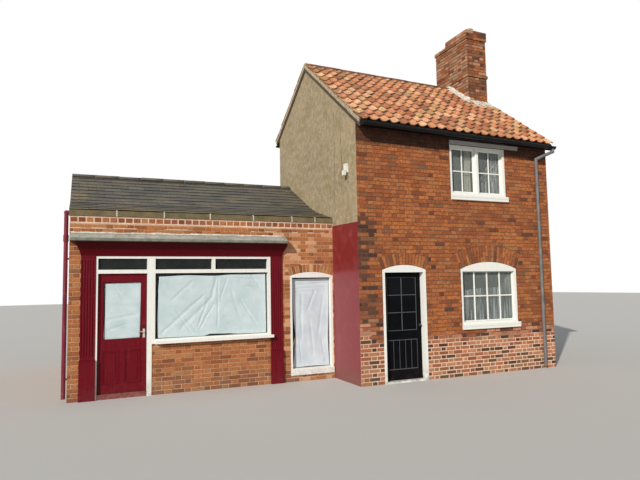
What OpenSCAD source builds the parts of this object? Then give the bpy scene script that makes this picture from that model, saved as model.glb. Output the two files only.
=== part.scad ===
// Single-storey corner shop built against the gable of a two-storey end house.
// Millimetres. X runs along the street, the fronts face -Y, Z is up from the ground.

/* [Shop walls] */
// Width of the shop front, from its outer corner to the house gable
shop_w = 4795; // [4745:5:5400]
// Depth of the shop from front to back
shop_d = 4900; // [4500:10:5600]
// Thickness of the brick walls
wall_t = 215; // [200:5:260]
// Height of the shop's ground floor above the lowest ground
shop_floor_h = 82; // [40:1:120]

/* [Shop roof] */
// Height of the brickwork between the cornice and the eaves
band_h = 292; // [200:1:400]
// Rise of the slates from the outer face of the eaves walls to the ridge
shop_ridge_rise = 1030; // [850:10:1300]
// Length on plan of the flatter lower part of each slope
bell_run = 900; // [600:10:1200]
// Rise of the flatter lower part of each slope
bell_rise = 250; // [180:5:320]
// Upright thickness of the shop roof
shop_roof_v = 90; // [70:5:130]
// How far the slates reach past the outer end wall
shop_verge = 20; // [0:5:60]
// How far the edge of the slates lies behind the outer faces of the eaves walls
shop_eaves_in = 85; // [70:5:110]
// Height of the shop's ridge tiles above the slates
shop_ridge_t = 55; // [30:5:80]
// Length of a ridge tile's wing on plan
shop_ridge_wing = 130; // [90:5:160]

/* [Shopfront] */
// Brickwork showing left of the shopfront
pier_w = 172; // [120:1:260]
// Width of a pilaster
pilaster_w = 237; // [200:1:280]
// How far the pilasters stand out from the brickwork
pilaster_out = 22; // [18:1:80]
// Width of one flute in a pilaster
flute_w = 24; // [16:1:28]
// How far a plinth is wider than its pilaster on each side
plinth_lip = 8; // [4:1:20]
// How far a plinth stands out past its pilaster
plinth_out = 24; // [8:1:30]
// Height of the left plinth
plinth_left_h = 657; // [500:1:760]
// Height of the right plinth
plinth_right_h = 616; // [500:1:760]
// Width of the white jamb beside the shop door
door_jamb_w = 32; // [28:1:70]
// Width of the shop doorway between its jambs
shop_door_w = 793; // [740:1:840]
// Width of the white post between door and window
post_w = 135; // [110:1:180]
// Width of the post below the window sill
post_low_w = 80; // [70:1:110]
// Width of the white jamb right of the window
window_jamb_w = 56; // [50:1:90]
// Height of the underside of the transom
transom_z = 2085; // [2000:1:2120]
// Height of the transom
transom_h = 65; // [60:1:110]
// Height of the top lights
toplight_h = 190; // [140:1:220]
// Height of the rail over the top lights
toprail_h = 40; // [36:1:70]
// Width of the mullion in the top lights
mullion_w = 60; // [50:1:90]
// Height of the underside of the window sill
sill_z = 868; // [760:1:940]
// Height of the window sill
sill_h = 50; // [40:1:70]
// How far the sill stands out from the brickwork
sill_out = 105; // [80:1:150]
// How far the sill reaches past the window jamb, over the pilaster's foot
sill_ear = 30; // [0:1:60]
// Height of the rail under the window glass
bottomrail_h = 30; // [20:1:50]
// How far the white joinery stands out from the brickwork
frame_out = 15; // [5:1:30]
// Depth of the white joinery behind the face of the brickwork
frame_in = 74; // [70:1:100]
// Thickness of the glass
glass_t = 6; // [4:1:12]
// Depth of the shopfront glass behind the face of the brickwork
glass_in = 25; // [20:1:40]
// Thickness left for the crinkled paper behind the glass
paper_t = 12; // [6:1:20]
// Width of the gap between the paper and the frame around it
paper_gap = 20; // [10:1:40]

/* [Fascia and cornice] */
// Height of the fascia
fascia_h = 241; // [200:1:320]
// How far the top of the fascia flares past the pilasters sideways
fascia_flare = 85; // [50:1:90]
// How far the top of the fascia stands out from the brickwork
fascia_top_out = 120; // [80:1:210]
// Height of the flat lower part of the fascia
fascia_flat_h = 15; // [10:1:110]
// How far the cornice stands out from the brickwork
cornice_out = 222; // [212:1:300]
// Height of the cornice's front edge
cornice_edge_h = 50; // [20:1:80]
// Height of the cornice where its steep front part ends
cornice_mid_h = 112; // [90:1:130]
// Height of the cornice at the wall
cornice_h = 147; // [135:1:200]
// Share of the cornice's depth behind its steep front part
cornice_rear = 0.6; // [0.4:0.05:0.8]
// How far the cornice reaches past the right pilaster
cornice_past = 48; // [20:1:80]

/* [Doors] */
// Thickness of the doors
leaf_t = 44; // [40:1:54]
// Clearance round each door
leaf_gap = 5; // [5:1:8]
// Clearance at each door's free edge, which its corner sweeps
free_gap = 7; // [7:1:10]
// Width of the shop door's left stile
stile_w = 81; // [75:1:120]
// Height of the shop door's glass above its lower edge
glass_low = 883; // [800:1:950]
// Height of the shop door's glass
glass_high = 973; // [850:1:1000]
// Depth of the sunk panels
panel_sink = 12; // [8:1:14]
// Height of the shop door's lower rail
low_rail_h = 146; // [120:1:200]
// Height of the sunk panels in the shop door
panel_h = 553; // [450:1:600]
// Width of the bar between the sunk panels
panel_bar_w = 82; // [60:1:110]
// Height of the door handle above the leaf's foot
handle_up = 970; // [900:1:1050]
// Height of the house door's knobs above the leaf's foot
knob_up = 1000; // [900:1:1100]
// Radius of a knob
knob_r = 26; // [20:1:30]
// How far the middle of a knob stands off the door
knob_out = 34; // [30:1:45]
// Radius of a hinge knuckle
knuckle_r = 6; // [5:0.5:7]
// Height of a hinge
hinge_h = 100; // [75:1:120]
// Thickness of the metal plates on the doors
plate_t = 4; // [2:0.5:6]
// Length of the shop door's levers
lever_l = 100; // [80:1:120]
// How far the levers stand off the door
lever_out = 54; // [45:1:60]

/* [Narrow side window] */
// Brickwork right of the narrow window
side_gap = 22; // [10:1:60]
// Brickwork between the right pilaster and the narrow window
side_pier_w = 156; // [90:1:220]
// Width of the narrow window
side_w = 905; // [840:1:940]
// Height of the underside of its sill
side_sill_z = 117; // [90:1:200]
// Height of its sill
side_sill_h = 104; // [70:1:120]
// Height of the springing of its arched head
side_spring_z = 2010; // [1900:1:2060]
// Rise of its arched head
side_rise = 74; // [50:1:110]
// Width of its frame
side_frame_w = 46; // [36:1:90]
// Depth of its frame behind the face of the brickwork
side_frame_in = 120; // [110:1:140]
// Depth of its glass behind the face of the brickwork
side_glass_in = 75; // [60:1:85]
// Height of the underside of its head bar
side_head_z = 1976; // [1850:1:1985]

/* [House walls] */
// Width of the house, from the gable to the far face of the party wall
house_w = 4675; // [4635:5:5400]
// Depth of the house
house_d = 4180; // [4000:10:4700]
// How far the house stands forward of the shop
house_out = 1100; // [900:10:1300]
// Thickness of the rendered gable wall
gable_t = 230; // [200:5:300]
// Thickness of the party wall
party_t = 230; // [200:5:300]
// Top of the house's ground floor
house_floor_h = 30; // [15:1:60]
// Underside of the upper floor
upper_floor_z = 2450; // [2350:10:2600]
// Thickness of the upper floor
upper_floor_t = 200; // [150:10:250]

/* [House roof] */
// Height of the tiles at the ridge, at the gable
ridge_h = 6815; // [6700:5:7200]
// Distance from the house front to the ridge
ridge_in = 2369; // [2200:1:2500]
// Pitch of the front slope
front_pitch = 37.65; // [36:0.05:42]
// Pitch of the back slope
back_pitch = 32.5; // [30:0.5:36]
// Upright thickness of the roof
roof_v = 140; // [110:5:180]
// How far the roof reaches past the front and back walls
eaves_out = 190; // [120:5:220]
// How far the roof reaches past the gable
verge_out = 20; // [0:5:50]
// Fall of the settled roof from the gable to the party wall
roof_fall = 75; // [0:5:180]
// Number of columns of pantiles on each slope
tile_columns = 23; // [20:1:26]
// Thickness of the pantiles' layer in their hollows
tile_bed = 19; // [12:1:30]
// Height of the pantiles' rolls
roll_h = 62; // [45:1:75]
// Outer radius of the half-round ridge tiles
ridge_r = 115; // [100:1:135]
// How far the middle of the ridge tiles lies below the ridge
ridge_sink = 60; // [40:1:80]
// Thickness of the ridge tiles
ridge_tile_t = 16; // [12:1:24]

/* [Chimney] */
// Distance from the party wall's far face to the chimney stack
stack_in = 95; // [40:1:200]
// Width of the chimney stack along the street
stack_w = 575; // [520:5:640]
// Distance from the house front to the chimney stack
stack_back = 1646; // [1500:1:1750]
// Length of the chimney stack
stack_d = 1255; // [1150:1:1350]
// Height of the string course's underside
string_z = 6863; // [6800:1:6950]
// Height of one course of bricks
course_h = 75; // [65:1:80]
// How far the string course and the cap stand out
oversail = 22; // [12:1:40]
// Height of the cap's underside
cap_z = 7820; // [7600:1:8000]
// Number of courses in the cap
cap_courses = 3; // [2:1:4]
// Length of the back part of the cap whose upper courses are gone
cap_gone_d = 470; // [300:1:550]
// Height where the stack sits on the party wall
stack_seat_z = 5400; // [5200:10:5600]
// Outer radius of a chimney pot
pot_r = 105; // [90:1:130]
// Height of a chimney pot above its mortar bed
pot_h = 95; // [70:1:200]
// Thickness of a chimney pot
pot_t = 18; // [12:1:25]
// Height of the mortar bed round the pots
flaunch_h = 50; // [30:1:80]

/* [House front door] */
// Distance from the gable to the door frame
house_door_in = 490; // [450:1:600]
// Width over the door frame
house_door_w = 952; // [920:1:1020]
// Width of the door frame's jambs
house_jamb_w = 52; // [45:1:100]
// Height of the springing of the arch over the door
house_door_spring_z = 2085; // [2050:1:2150]
// Rise of the arch over the door
house_door_rise = 90; // [60:1:120]
// Height of the doorway
house_door_head_z = 2038; // [1950:1:2045]
// Depth of the house door behind the face of the wall
house_leaf_in = 115; // [50:1:140]
// How far the white joinery stands out from the house front
house_frame_out = 5; // [2:1:20]
// Height of the house door's glass above its lower edge
house_glass_low = 905; // [820:1:1250]
// Height of the underside of the house door's boarded panel, from the foot of the leaf
house_panel_low = 183; // [150:1:240]
// Height of the house door's boarded panel
house_panel_h = 560; // [450:1:600]
// Width of the house door's stiles
house_stile_w = 90; // [75:1:110]
// Height of the house door's top rail
house_rail_h = 85; // [70:1:120]

/* [House windows] */
// Distance from the gable to the lower window
low_win_in = 2272; // [2200:1:2400]
// Width of the lower window
low_win_w = 1418; // [1300:1:1460]
// Height of the underside of the lower window's sill
low_sill_z = 901; // [800:1:1000]
// Height of the lower window's sill
low_sill_h = 101; // [70:1:120]
// Height of the springing of the arch over the lower window
low_spring_z = 2090; // [2000:1:2150]
// Rise of the arch over the lower window
low_rise = 141; // [100:1:160]
// Distance from the gable to the upper window
up_win_in = 2109; // [2050:1:2250]
// Width of the upper window
up_win_w = 1400; // [1350:1:1500]
// Height of the underside of the upper window's sill
up_sill_z = 3477; // [3300:1:3560]
// Height of the upper window's sill
up_sill_h = 104; // [70:1:120]
// Height of the upper window's head
up_head_z = 4590; // [4400:1:4620]
// Width of the window frames
win_frame_w = 48; // [40:1:90]
// Height of the rails under and over the panes
win_rail_h = 45; // [35:1:60]
// Depth of the panes behind the face of the wall
pane_in = 90; // [60:1:95]
// Depth of the window frames behind the face of the wall
win_in = 125; // [110:1:140]
// How far the sills stand out from the wall
win_sill_out = 45; // [30:1:70]
// How far the sills reach past the windows
win_sill_ear = 40; // [0:1:60]

/* [Rain goods] */
// Width of the shop's box gutters
shop_gutter_w = 105; // [90:1:130]
// Height of the shop's box gutters
shop_gutter_h = 96; // [70:1:110]
// Thickness of the gutters
gutter_t = 4; // [3:0.5:8]
// Radius of the house's half-round gutters
gutter_r = 57; // [50:1:70]
// Thickness of the boards behind the house's gutters
board_t = 18; // [12:1:25]
// Radius of the downpipes
pipe_r = 34; // [30:1:40]
// Gap between the downpipes and the walls
pipe_gap = 25; // [15:1:40]
// Distance from the party wall's far face to the house's downpipe
pipe_in = 338; // [260:1:420]
// Height of a downpipe's foot
pipe_foot_z = 60; // [20:1:200]
// Height of the house's swan neck below its gutter
house_neck_h = 190; // [160:5:400]
// Distance from the party wall's far face to the house gutter's outlet
outlet_in = 60; // [50:1:90]
// How much wider the pipes are at their bends
socket_t = 4; // [2:0.5:8]
// Height of the socket under the bend of the shop's downpipe
socket_h = 110; // [80:1:150]

/* [Back of the building] */
// Width of the back windows
back_win_w = 1100; // [900:10:1300]
// Height of the back windows
back_win_h = 1050; // [900:10:1200]
// Height of the underside of the lower back windows
back_win_z = 950; // [850:10:1050]
// Height of the underside of the upper back window
back_up_z = 3500; // [3350:10:3700]
// Distance from the gable to the back door
back_door_in = 700; // [500:10:900]
// Width of the back doorway
back_door_w = 860; // [800:10:950]
// Height of the back doorway
back_door_h = 2050; // [1980:10:2100]

/* [Hidden] */

// How far cuts run past the faces that they open
past = 10;
// Longer than anything in the building
far = 12000;
// Gap left where a piece passes through a cut
fit = 3;
// Gap between two solids of one piece that are bedded on each other
seam = 0.3;
// How far the rims of the house's gutters lie below the edge of the tiles
gutter_drop = 75;
// How far the tops of the boards behind them lie below the edge of the tiles
board_drop = 25;
// Clips that hold the downpipes, and how far they are from the pipes' ends
clip_in = 300;
pipe_clip_w = 40;
pipe_clip_h = 30;
// Place of the middle clip of the house's downpipe, as a share of its height
mid_clip = 0.58;
// How far the outlet of the house's gutter reaches below it
outlet_h = 50;
// Shares of the house's front windows that the left and right curtains cover, and the depth of their folds
low_curtain = [0.49, 0.49];
up_curtain = [0.49, 0.49];
curtain_t = 40;
// Gap between a hinge knuckle and its corner
knuckle_gap = 0.3;

// Plan of the shop
pilaster_x = pier_w;
jamb_x = pilaster_x + pilaster_w;
door_x = jamb_x + door_jamb_w;
post_x = door_x + shop_door_w;
window_x = post_x + post_w;
side_x = shop_w - side_gap - side_w;
right_pilaster_end = side_x - side_pier_w;
right_pilaster_x = right_pilaster_end - pilaster_w;
front_end = right_pilaster_x;
window_end = front_end - window_jamb_w;
toplight_z = transom_z + transom_h;
front_top = toplight_z + toplight_h + toprail_h;
pane_z = sill_z + sill_h + bottomrail_h;
fascia_top = front_top + fascia_h;
shop_eaves_h = fascia_top + cornice_h + band_h + shop_roof_v;
shop_ridge_h = shop_eaves_h + shop_ridge_rise;
shop_gutter_low = shop_eaves_h - shop_roof_v;
ridge_y = shop_d / 2;

// Plan of the house
gable_x = shop_w;
house_x = gable_x + gable_t;
party_x = gable_x + house_w - party_t;
house_end = gable_x + house_w;
front_y = -house_out;
house_inner_y = front_y + wall_t;
back_y = front_y + house_d;
house_ridge_y = front_y + ridge_in;
front_eaves_y = front_y - eaves_out;
back_eaves_y = back_y + eaves_out;
front_eaves_z = ridge_h - (house_ridge_y - front_eaves_y) * tan(front_pitch);
back_eaves_z = ridge_h - (back_eaves_y - house_ridge_y) * tan(back_pitch);
fall_angle = atan(roof_fall / house_w);
house_door_x = gable_x + house_door_in;
house_door_end = house_door_x + house_door_w;
house_leaf_x = house_door_x + house_jamb_w;
house_doorway_w = house_door_w - 2 * house_jamb_w;
house_leaf_w = house_doorway_w - leaf_gap - free_gap;
house_leaf_y = front_y + house_leaf_in;
house_leaf_back = house_leaf_y + leaf_t;
low_win_x = gable_x + low_win_in;
up_win_x = gable_x + up_win_in;
stack_x = house_end - stack_in - stack_w;
stack_y = front_y + stack_back;
cap_h = cap_courses * course_h;

// Doors and hinges
leaf_back = frame_in;
leaf_front = leaf_back - leaf_t;
hinge_in = sqrt(pow(knuckle_r + knuckle_gap, 2) - pow(leaf_gap / 2, 2));
shop_leaf_w = shop_door_w - leaf_gap - free_gap;
shop_leaf_h = transom_z - shop_floor_h - 2 * leaf_gap;
house_leaf_h = house_door_head_z - house_floor_h - 2 * leaf_gap;

// The whole building's box, whose bottom centre is the origin
pipe_out = pipe_gap + pipe_r + max(pipe_r + 2 * socket_t, pipe_r + socket_t);
box_left = -pipe_out;
box_right = house_end;
front_gutter_y = front_eaves_y - board_t - gutter_r;
gutter_front_y = front_gutter_y - gutter_r;
box_back = shop_d + max(win_sill_out, shop_gutter_w - shop_eaves_in);

function fall_at(x) = roof_fall * (x - gable_x) / house_w;
function bell_slope() = bell_rise / bell_run;
function arch_r(w, rise) = (w * w / 4 + rise * rise) / (2 * rise);

module placed() {
    translate([-(box_left + box_right) / 2, -(gutter_front_y + box_back) / 2, 0]) children();
}

module block(x0, x1, y0, y1, z0, z1) {
    translate([x0, y0, z0]) cube([x1 - x0, y1 - y0, z1 - z0]);
}

// A shape drawn in Y and Z, run along X
module along_x(x0, x1) {
    translate([x0, 0, 0]) rotate([90, 0, 90]) linear_extrude(height = x1 - x0) children();
}

// A shape drawn in X and Z, run along Y
module along_y(y0, y1) {
    translate([0, y1, 0]) rotate([90, 0, 0]) linear_extrude(height = y1 - y0) children();
}

// An opening with a segmental head, from y0 to y1
module arched(x0, w, z0, spring, rise, y0, y1) {
    radius = arch_r(w, rise);
    block(x0, x0 + w, y0, y1, z0, spring);
    intersection() {
        block(x0, x0 + w, y0, y1, spring - 1, spring + rise + 1);
        translate([x0 + w / 2, y1, spring + rise - radius]) rotate([90, 0, 0])
            cylinder(r = radius, h = y1 - y0, $fn = 96);
    }
}

// Everything below the underside of the shop roof, lowered by drop
module under_shop_roof(drop) {
    along_x(-far, far) polygon([
        [-far, -far], [shop_d + far, -far],
        [shop_d + far, shop_eaves_h - far * bell_slope() - drop],
        [shop_d - bell_run, shop_eaves_h + bell_rise - drop],
        [ridge_y, shop_ridge_h - drop],
        [bell_run, shop_eaves_h + bell_rise - drop],
        [-far, shop_eaves_h - far * bell_slope() - drop]
    ]);
}

// Last course of a wall, bedded behind its gutter from y0 to y1, where the roof rests
module last_course(y0, y1) {
    intersection() {
        block(0, shop_w, y0, y1, shop_gutter_low + seam, far);
        under_shop_roof(shop_roof_v);
    }
}

// Pieces of the settled roof, tilted along the street and trimmed at x0 and x1
module falling(x0, x1) {
    intersection() {
        translate([gable_x, 0, ridge_h]) rotate([0, fall_angle, 0]) translate([-gable_x, 0, -ridge_h])
            children();
        block(x0, x1, -far, far, -far, far);
    }
}

// Everything below the house roof's tiles, lowered by drop
module under_house_roof(drop) {
    falling(-far, far)
        along_x(-far, 2 * far) polygon([
            [front_eaves_y, -far], [front_eaves_y, front_eaves_z - drop], [house_ridge_y, ridge_h - drop],
            [back_eaves_y, back_eaves_z - drop], [back_eaves_y, -far]
        ]);
}

module stack_footprint(grow, z0, z1) {
    block(stack_x - grow, stack_x + stack_w + grow, stack_y - grow, stack_y + stack_d + grow, z0, z1);
}

module shop_front_pier() placed() color([0.72, 0.38, 0.22])
    block(0, jamb_x, 0, wall_t, 0, front_top);

module shop_stall_riser() placed() color([0.72, 0.38, 0.22])
    block(post_x + post_low_w, front_end, 0, wall_t, 0, sill_z);

module shop_front_head() placed() color([0.74, 0.40, 0.24]) {
    block(0, shop_w, 0, wall_t, front_top, shop_gutter_low);
    last_course(shop_eaves_in, wall_t);
}

module shop_front_right_wall() placed() color([0.72, 0.38, 0.22])
    difference() {
        block(front_end, shop_w, 0, wall_t, 0, front_top);
        arched(side_x, side_w, side_sill_z, side_spring_z, side_rise, -past, wall_t + past);
    }

module shop_side_wall() placed() color([0.66, 0.36, 0.22])
    intersection() {
        block(0, wall_t, wall_t, shop_d - wall_t, 0, far);
        under_shop_roof(shop_roof_v);
    }

module shop_back_wall() placed() color([0.66, 0.36, 0.22]) {
    difference() {
        block(0, shop_w, shop_d - wall_t, shop_d, 0, shop_gutter_low);
        back_hole((shop_w - back_win_w) / 2, back_win_z, shop_d);
    }
    last_course(shop_d - wall_t, shop_d - shop_eaves_in);
}

// Hole for a plain back window whose wall has its outer face at y
module back_hole(x, z, y) {
    block(x, x + back_win_w, y - wall_t - past, y + past, z, z + back_win_h);
}

module shop_inner_side_wall() placed() color([0.66, 0.36, 0.22])
    intersection() {
        block(shop_w - wall_t, shop_w, back_y, shop_d - wall_t, 0, far);
        under_shop_roof(shop_roof_v);
    }

module shop_floor() placed() color([0.55, 0.53, 0.50])
    difference() {
        block(wall_t, shop_w, wall_t, shop_d - wall_t, 0, shop_floor_h);
        block(shop_w - wall_t, shop_w + past, back_y, shop_d, -past, shop_floor_h + past);
    }

// One slope of the shop roof between y0 and y1
module shop_slope(y0, y1) {
    intersection() {
        difference() {
            under_shop_roof(0);
            under_shop_roof(shop_roof_v);
        }
        block(-shop_verge, shop_w, y0, y1, 0, far);
    }
}

module shop_roof_front() placed() color([0.30, 0.30, 0.28])
    shop_slope(shop_eaves_in, ridge_y);

module shop_roof_back() placed() color([0.30, 0.30, 0.28])
    shop_slope(ridge_y, shop_d - shop_eaves_in);

module shop_ridge_tiles() placed() color([0.22, 0.22, 0.22])
    difference() {
        intersection() {
            under_shop_roof(-shop_ridge_t);
            block(-shop_verge, shop_w, ridge_y - shop_ridge_wing, ridge_y + shop_ridge_wing, 0, far);
        }
        under_shop_roof(0);
    }

// Box gutter of sheets laid on top of a wall whose face is at y = 0
module box_gutter() {
    low = shop_gutter_low;
    top = low + shop_gutter_h;
    front = shop_eaves_in - shop_gutter_w;
    side_z = low + gutter_t + seam;
    block(-shop_verge, shop_w, front, shop_eaves_in, low, low + gutter_t);
    for (y = [front, shop_eaves_in - gutter_t])
        block(-shop_verge, shop_w, y, y + gutter_t, side_z, top);
    for (x = [-shop_verge, shop_w - gutter_t])
        block(x, x + gutter_t, front + gutter_t + seam, shop_eaves_in - gutter_t - seam, side_z, top);
}

module shop_gutters() placed() color([0.42, 0.38, 0.28]) {
    box_gutter();
    translate([0, shop_d, 0]) mirror([0, 1, 0]) box_gutter();
}

// A round bar of radius r between two points
module rod(a, b, r) {
    d = b - a;
    flat = norm([d[0], d[1]]);
    translate(a) rotate([0, atan2(flat, d[2]), atan2(d[1], d[0])])
        cylinder(r = r, h = norm(d), $fn = 48);
}

// A pipe along a list of points, with a round socket at each bend
module pipe_run(points, r) {
    for (i = [0:len(points) - 2]) rod(points[i], points[i + 1], r);
    for (i = [1:len(points) - 2]) translate(points[i]) sphere(r = r + socket_t, $fn = 48);
}

// Downpipe at the end of the front gutter
module shop_downpipe() placed() color([0.40, 0.07, 0.14]) {
    x = -pipe_gap - pipe_r;
    y = shop_eaves_in - shop_gutter_w / 2;
    top = shop_gutter_low + shop_gutter_h / 2;
    pipe_run([[x, y, pipe_foot_z], [x, y, top], [-shop_verge, y, top]], pipe_r);
    translate([x, y, fascia_top]) cylinder(r = pipe_r + 2 * socket_t, h = socket_h, $fn = 48);
    for (z = [pipe_foot_z + clip_in, fascia_top - clip_in])
        block(x, 0, y - pipe_clip_w / 2, y + pipe_clip_w / 2, z, z + pipe_clip_h);
}

// A fluted pilaster on its plinth, from x, with a plinth of height foot
module pilaster(x, foot) {
    flutes = 5;
    pitch = pilaster_w / (flutes + 0.6);
    difference() {
        block(x, x + pilaster_w, -pilaster_out, 0, foot, front_top);
        for (i = [0:flutes - 1])
            translate([x + pilaster_w / 2 + (i - (flutes - 1) / 2) * pitch, -pilaster_out, foot + 60])
                cylinder(r = flute_w / 2, h = front_top - foot - 130, $fn = 24);
    }
    block(x - plinth_lip, x + pilaster_w + plinth_lip, -pilaster_out - plinth_out, 0, 0, foot);
}

module left_pilaster() placed() color([0.42, 0.06, 0.13])
    difference() {
        pilaster(pilaster_x, plinth_left_h);
        block(jamb_x, door_x, -frame_out, frame_in, -past, far);
    }

module right_pilaster() placed() color([0.42, 0.06, 0.13])
    pilaster(right_pilaster_x, plinth_right_h);

// Outline of the fascia's face: flat at its foot, then a slight double curve out to reach
function cyma(base, reach) = concat(
    [[0, 0], [base, 0]],
    [for (t = [0:1/8:1]) [
        base + (reach - base) * (t + (1 - cos(180 * t)) / 2) / 2,
        fascia_flat_h + (fascia_h - fascia_flat_h) * t
    ]],
    [[0, fascia_h]]
);

module fascia() placed() color([0.36, 0.04, 0.10])
    intersection() {
        translate([0, 0, front_top]) mirror([0, 1, 0])
            along_x(-far, far) polygon(cyma(pilaster_out, fascia_top_out));
        union() {
            translate([right_pilaster_end, 0, front_top])
                along_y(-far, 0) polygon(cyma(1, fascia_flare));
            translate([pilaster_x, 0, front_top]) mirror([1, 0, 0])
                along_y(-far, 0) polygon(cyma(1, fascia_flare));
            block(pilaster_x, right_pilaster_end, -far, 0, front_top, fascia_top);
        }
    }

module cornice_cover() placed() color([0.62, 0.66, 0.60])
    along_x(0, right_pilaster_end + cornice_past) polygon([
        [0, fascia_top], [-cornice_out, fascia_top], [-cornice_out, fascia_top + cornice_edge_h],
        [-cornice_out * cornice_rear, fascia_top + cornice_mid_h], [0, fascia_top + cornice_h]
    ]);

module shopfront_frame() placed() color([0.93, 0.93, 0.90]) {
    block(jamb_x, door_x, -frame_out, frame_in, 0, front_top);
    block(post_x, post_x + post_low_w, -frame_out, frame_in, 0, sill_z);
    block(post_x, window_x, -frame_out, frame_in, sill_z, front_top);
    block(window_end, front_end, -frame_out, frame_in, sill_z + sill_h, front_top);
    block(door_x, post_x, -frame_out, frame_in, transom_z, toplight_z);
    block(window_x, window_end, -frame_out, frame_in, transom_z, toplight_z);
    block(door_x, post_x, -frame_out, frame_in, front_top - toprail_h, front_top);
    block(window_x, window_end, -frame_out, frame_in, front_top - toprail_h, front_top);
    block(window_x, window_end, -frame_out, frame_in, sill_z + sill_h, pane_z);
    mid = (window_x + window_end) / 2;
    block(mid - mullion_w / 2, mid + mullion_w / 2, -frame_out, frame_in, toplight_z, front_top - toprail_h);
}

module shopfront_sill() placed() color([0.93, 0.93, 0.90]) {
    block(window_x, front_end + sill_ear, -sill_out, -pilaster_out, sill_z, sill_z + sill_h);
    block(window_x, front_end, -pilaster_out, wall_t, sill_z, sill_z + sill_h);
}

module shopfront_glass() placed() color([0.35, 0.42, 0.42, 0.4]) {
    mid = (window_x + window_end) / 2;
    high = front_top - toprail_h;
    block(window_x, window_end, glass_in, glass_in + glass_t, pane_z, transom_z);
    block(door_x, post_x, glass_in, glass_in + glass_t, toplight_z, high);
    block(window_x, mid - mullion_w / 2, glass_in, glass_in + glass_t, toplight_z, high);
    block(mid + mullion_w / 2, window_end, glass_in, glass_in + glass_t, toplight_z, high);
}

module window_paper() placed() color([0.85, 0.88, 0.86])
    block(window_x + paper_gap, window_end - paper_gap, glass_in + glass_t, glass_in + glass_t + paper_t,
        pane_z + 5, transom_z - paper_gap);

module shop_threshold() placed() color([0.60, 0.58, 0.54]) {
    block(door_x, post_x, -frame_out, wall_t, 0, shop_floor_h);
    block(post_x, post_x + post_low_w, frame_in, wall_t, 0, shop_floor_h);
    block(jamb_x, door_x, frame_in, wall_t, 0, shop_floor_h);
}

module shop_door() placed() color([0.42, 0.06, 0.13])
    translate([door_x + leaf_gap, leaf_front, shop_floor_h + leaf_gap])
        difference() {
            cube([shop_leaf_w, leaf_t, shop_leaf_h]);
            translate([stile_w, -past, glass_low])
                cube([shop_leaf_w - 2 * stile_w, leaf_t + 2 * past, glass_high]);
            sunk_panels(-past);
            sunk_panels(leaf_t - panel_sink);
        }

// Two sunk panels in the shop door, cut from depth y
module sunk_panels(y) {
    w = (shop_leaf_w - 2 * stile_w - panel_bar_w) / 2;
    for (x = [stile_w, stile_w + w + panel_bar_w])
        translate([x, y, low_rail_h]) cube([w, panel_sink + past, panel_h]);
}

// Three hinges on a leaf whose hinge edge is at x, inner face at y, foot at z
module hinges(x, y, z, leaf_h) {
    plate_w = 34;
    for (up = [0.08, 0.47, 0.84]) translate([x, y, z + leaf_h * up]) {
        translate([-leaf_gap / 2, hinge_in, 0]) cylinder(r = knuckle_r, h = hinge_h, $fn = 32);
        cube([plate_w, plate_t, hinge_h]);
    }
}

module shop_door_hinges() placed() color([0.55, 0.53, 0.50])
    hinges(door_x + leaf_gap, leaf_back, shop_floor_h + leaf_gap, shop_leaf_h);

module shop_door_glass() placed() color([0.35, 0.42, 0.42, 0.4])
    translate([door_x + leaf_gap + stile_w, leaf_front + (leaf_t - glass_t) / 2,
        shop_floor_h + leaf_gap + glass_low])
        cube([shop_leaf_w - 2 * stile_w, glass_t, glass_high]);

module shop_door_paper() placed() color([0.85, 0.88, 0.86])
    translate([door_x + leaf_gap + stile_w + 3, leaf_front + (leaf_t + glass_t) / 2,
        shop_floor_h + leaf_gap + glass_low + 3])
        cube([shop_leaf_w - 2 * stile_w - 6, paper_t, glass_high - 6]);

// Lever handle with a plate on each face
module shop_door_handle() placed() color([0.80, 0.78, 0.72]) {
    x = door_x + leaf_gap + shop_leaf_w - stile_w / 2;
    z = shop_floor_h + leaf_gap + handle_up;
    lever_r = 8;
    reach = lever_out - lever_r;
    for (side = [0, 1]) {
        face = side == 0 ? leaf_front : leaf_back;
        dir = side == 0 ? -1 : 1;
        translate([x, face + dir * plate_t / 2, z]) cube([36, plate_t, 150], center = true);
        rod([x, face + dir * plate_t, z + 30], [x, face + dir * reach, z + 30], lever_r - 1);
        rod([x + lever_r, face + dir * reach, z + 30], [x - lever_l, face + dir * reach, z + 30], lever_r);
    }
}

module side_window_frame() placed() color([0.93, 0.93, 0.90])
    difference() {
        arched(side_x, side_w, side_sill_z + side_sill_h, side_spring_z, side_rise, 0, side_frame_in);
        block(side_x + side_frame_w, side_x + side_w - side_frame_w, -past, side_frame_in + past,
            side_sill_z + side_sill_h + 19, side_head_z);
    }

module side_window_sill() placed() color([0.93, 0.93, 0.90])
    block(side_x, side_x + side_w, -30, wall_t, side_sill_z, side_sill_z + side_sill_h);

module side_window_glass() placed() color([0.35, 0.42, 0.42, 0.4])
    block(side_x + side_frame_w, side_x + side_w - side_frame_w, side_glass_in, side_glass_in + glass_t,
        side_sill_z + side_sill_h + 19, side_head_z);

module side_window_paper() placed() color([0.80, 0.84, 0.88])
    block(side_x + side_frame_w + 5, side_x + side_w - side_frame_w - 5,
        side_glass_in + glass_t, side_glass_in + glass_t + paper_t,
        side_sill_z + side_sill_h + 24, side_head_z - 5);

// A plain back window: frame, panes and sill, for a wall whose outer face is at y
module back_window(x, z, y) {
    sill_t = 60;
    difference() {
        block(x, x + back_win_w, y - win_in, y, z, z + back_win_h);
        block(x + win_frame_w, x + back_win_w - win_frame_w, y - win_in - past, y + past,
            z + sill_t + win_rail_h, z + back_win_h - win_rail_h);
    }
    block(x + win_frame_w, x + back_win_w - win_frame_w, y - pane_in - glass_t, y - pane_in,
        z + sill_t + win_rail_h, z + back_win_h - win_rail_h);
    block(x, x + back_win_w, y, y + win_sill_out, z, z + sill_t);
}

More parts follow.
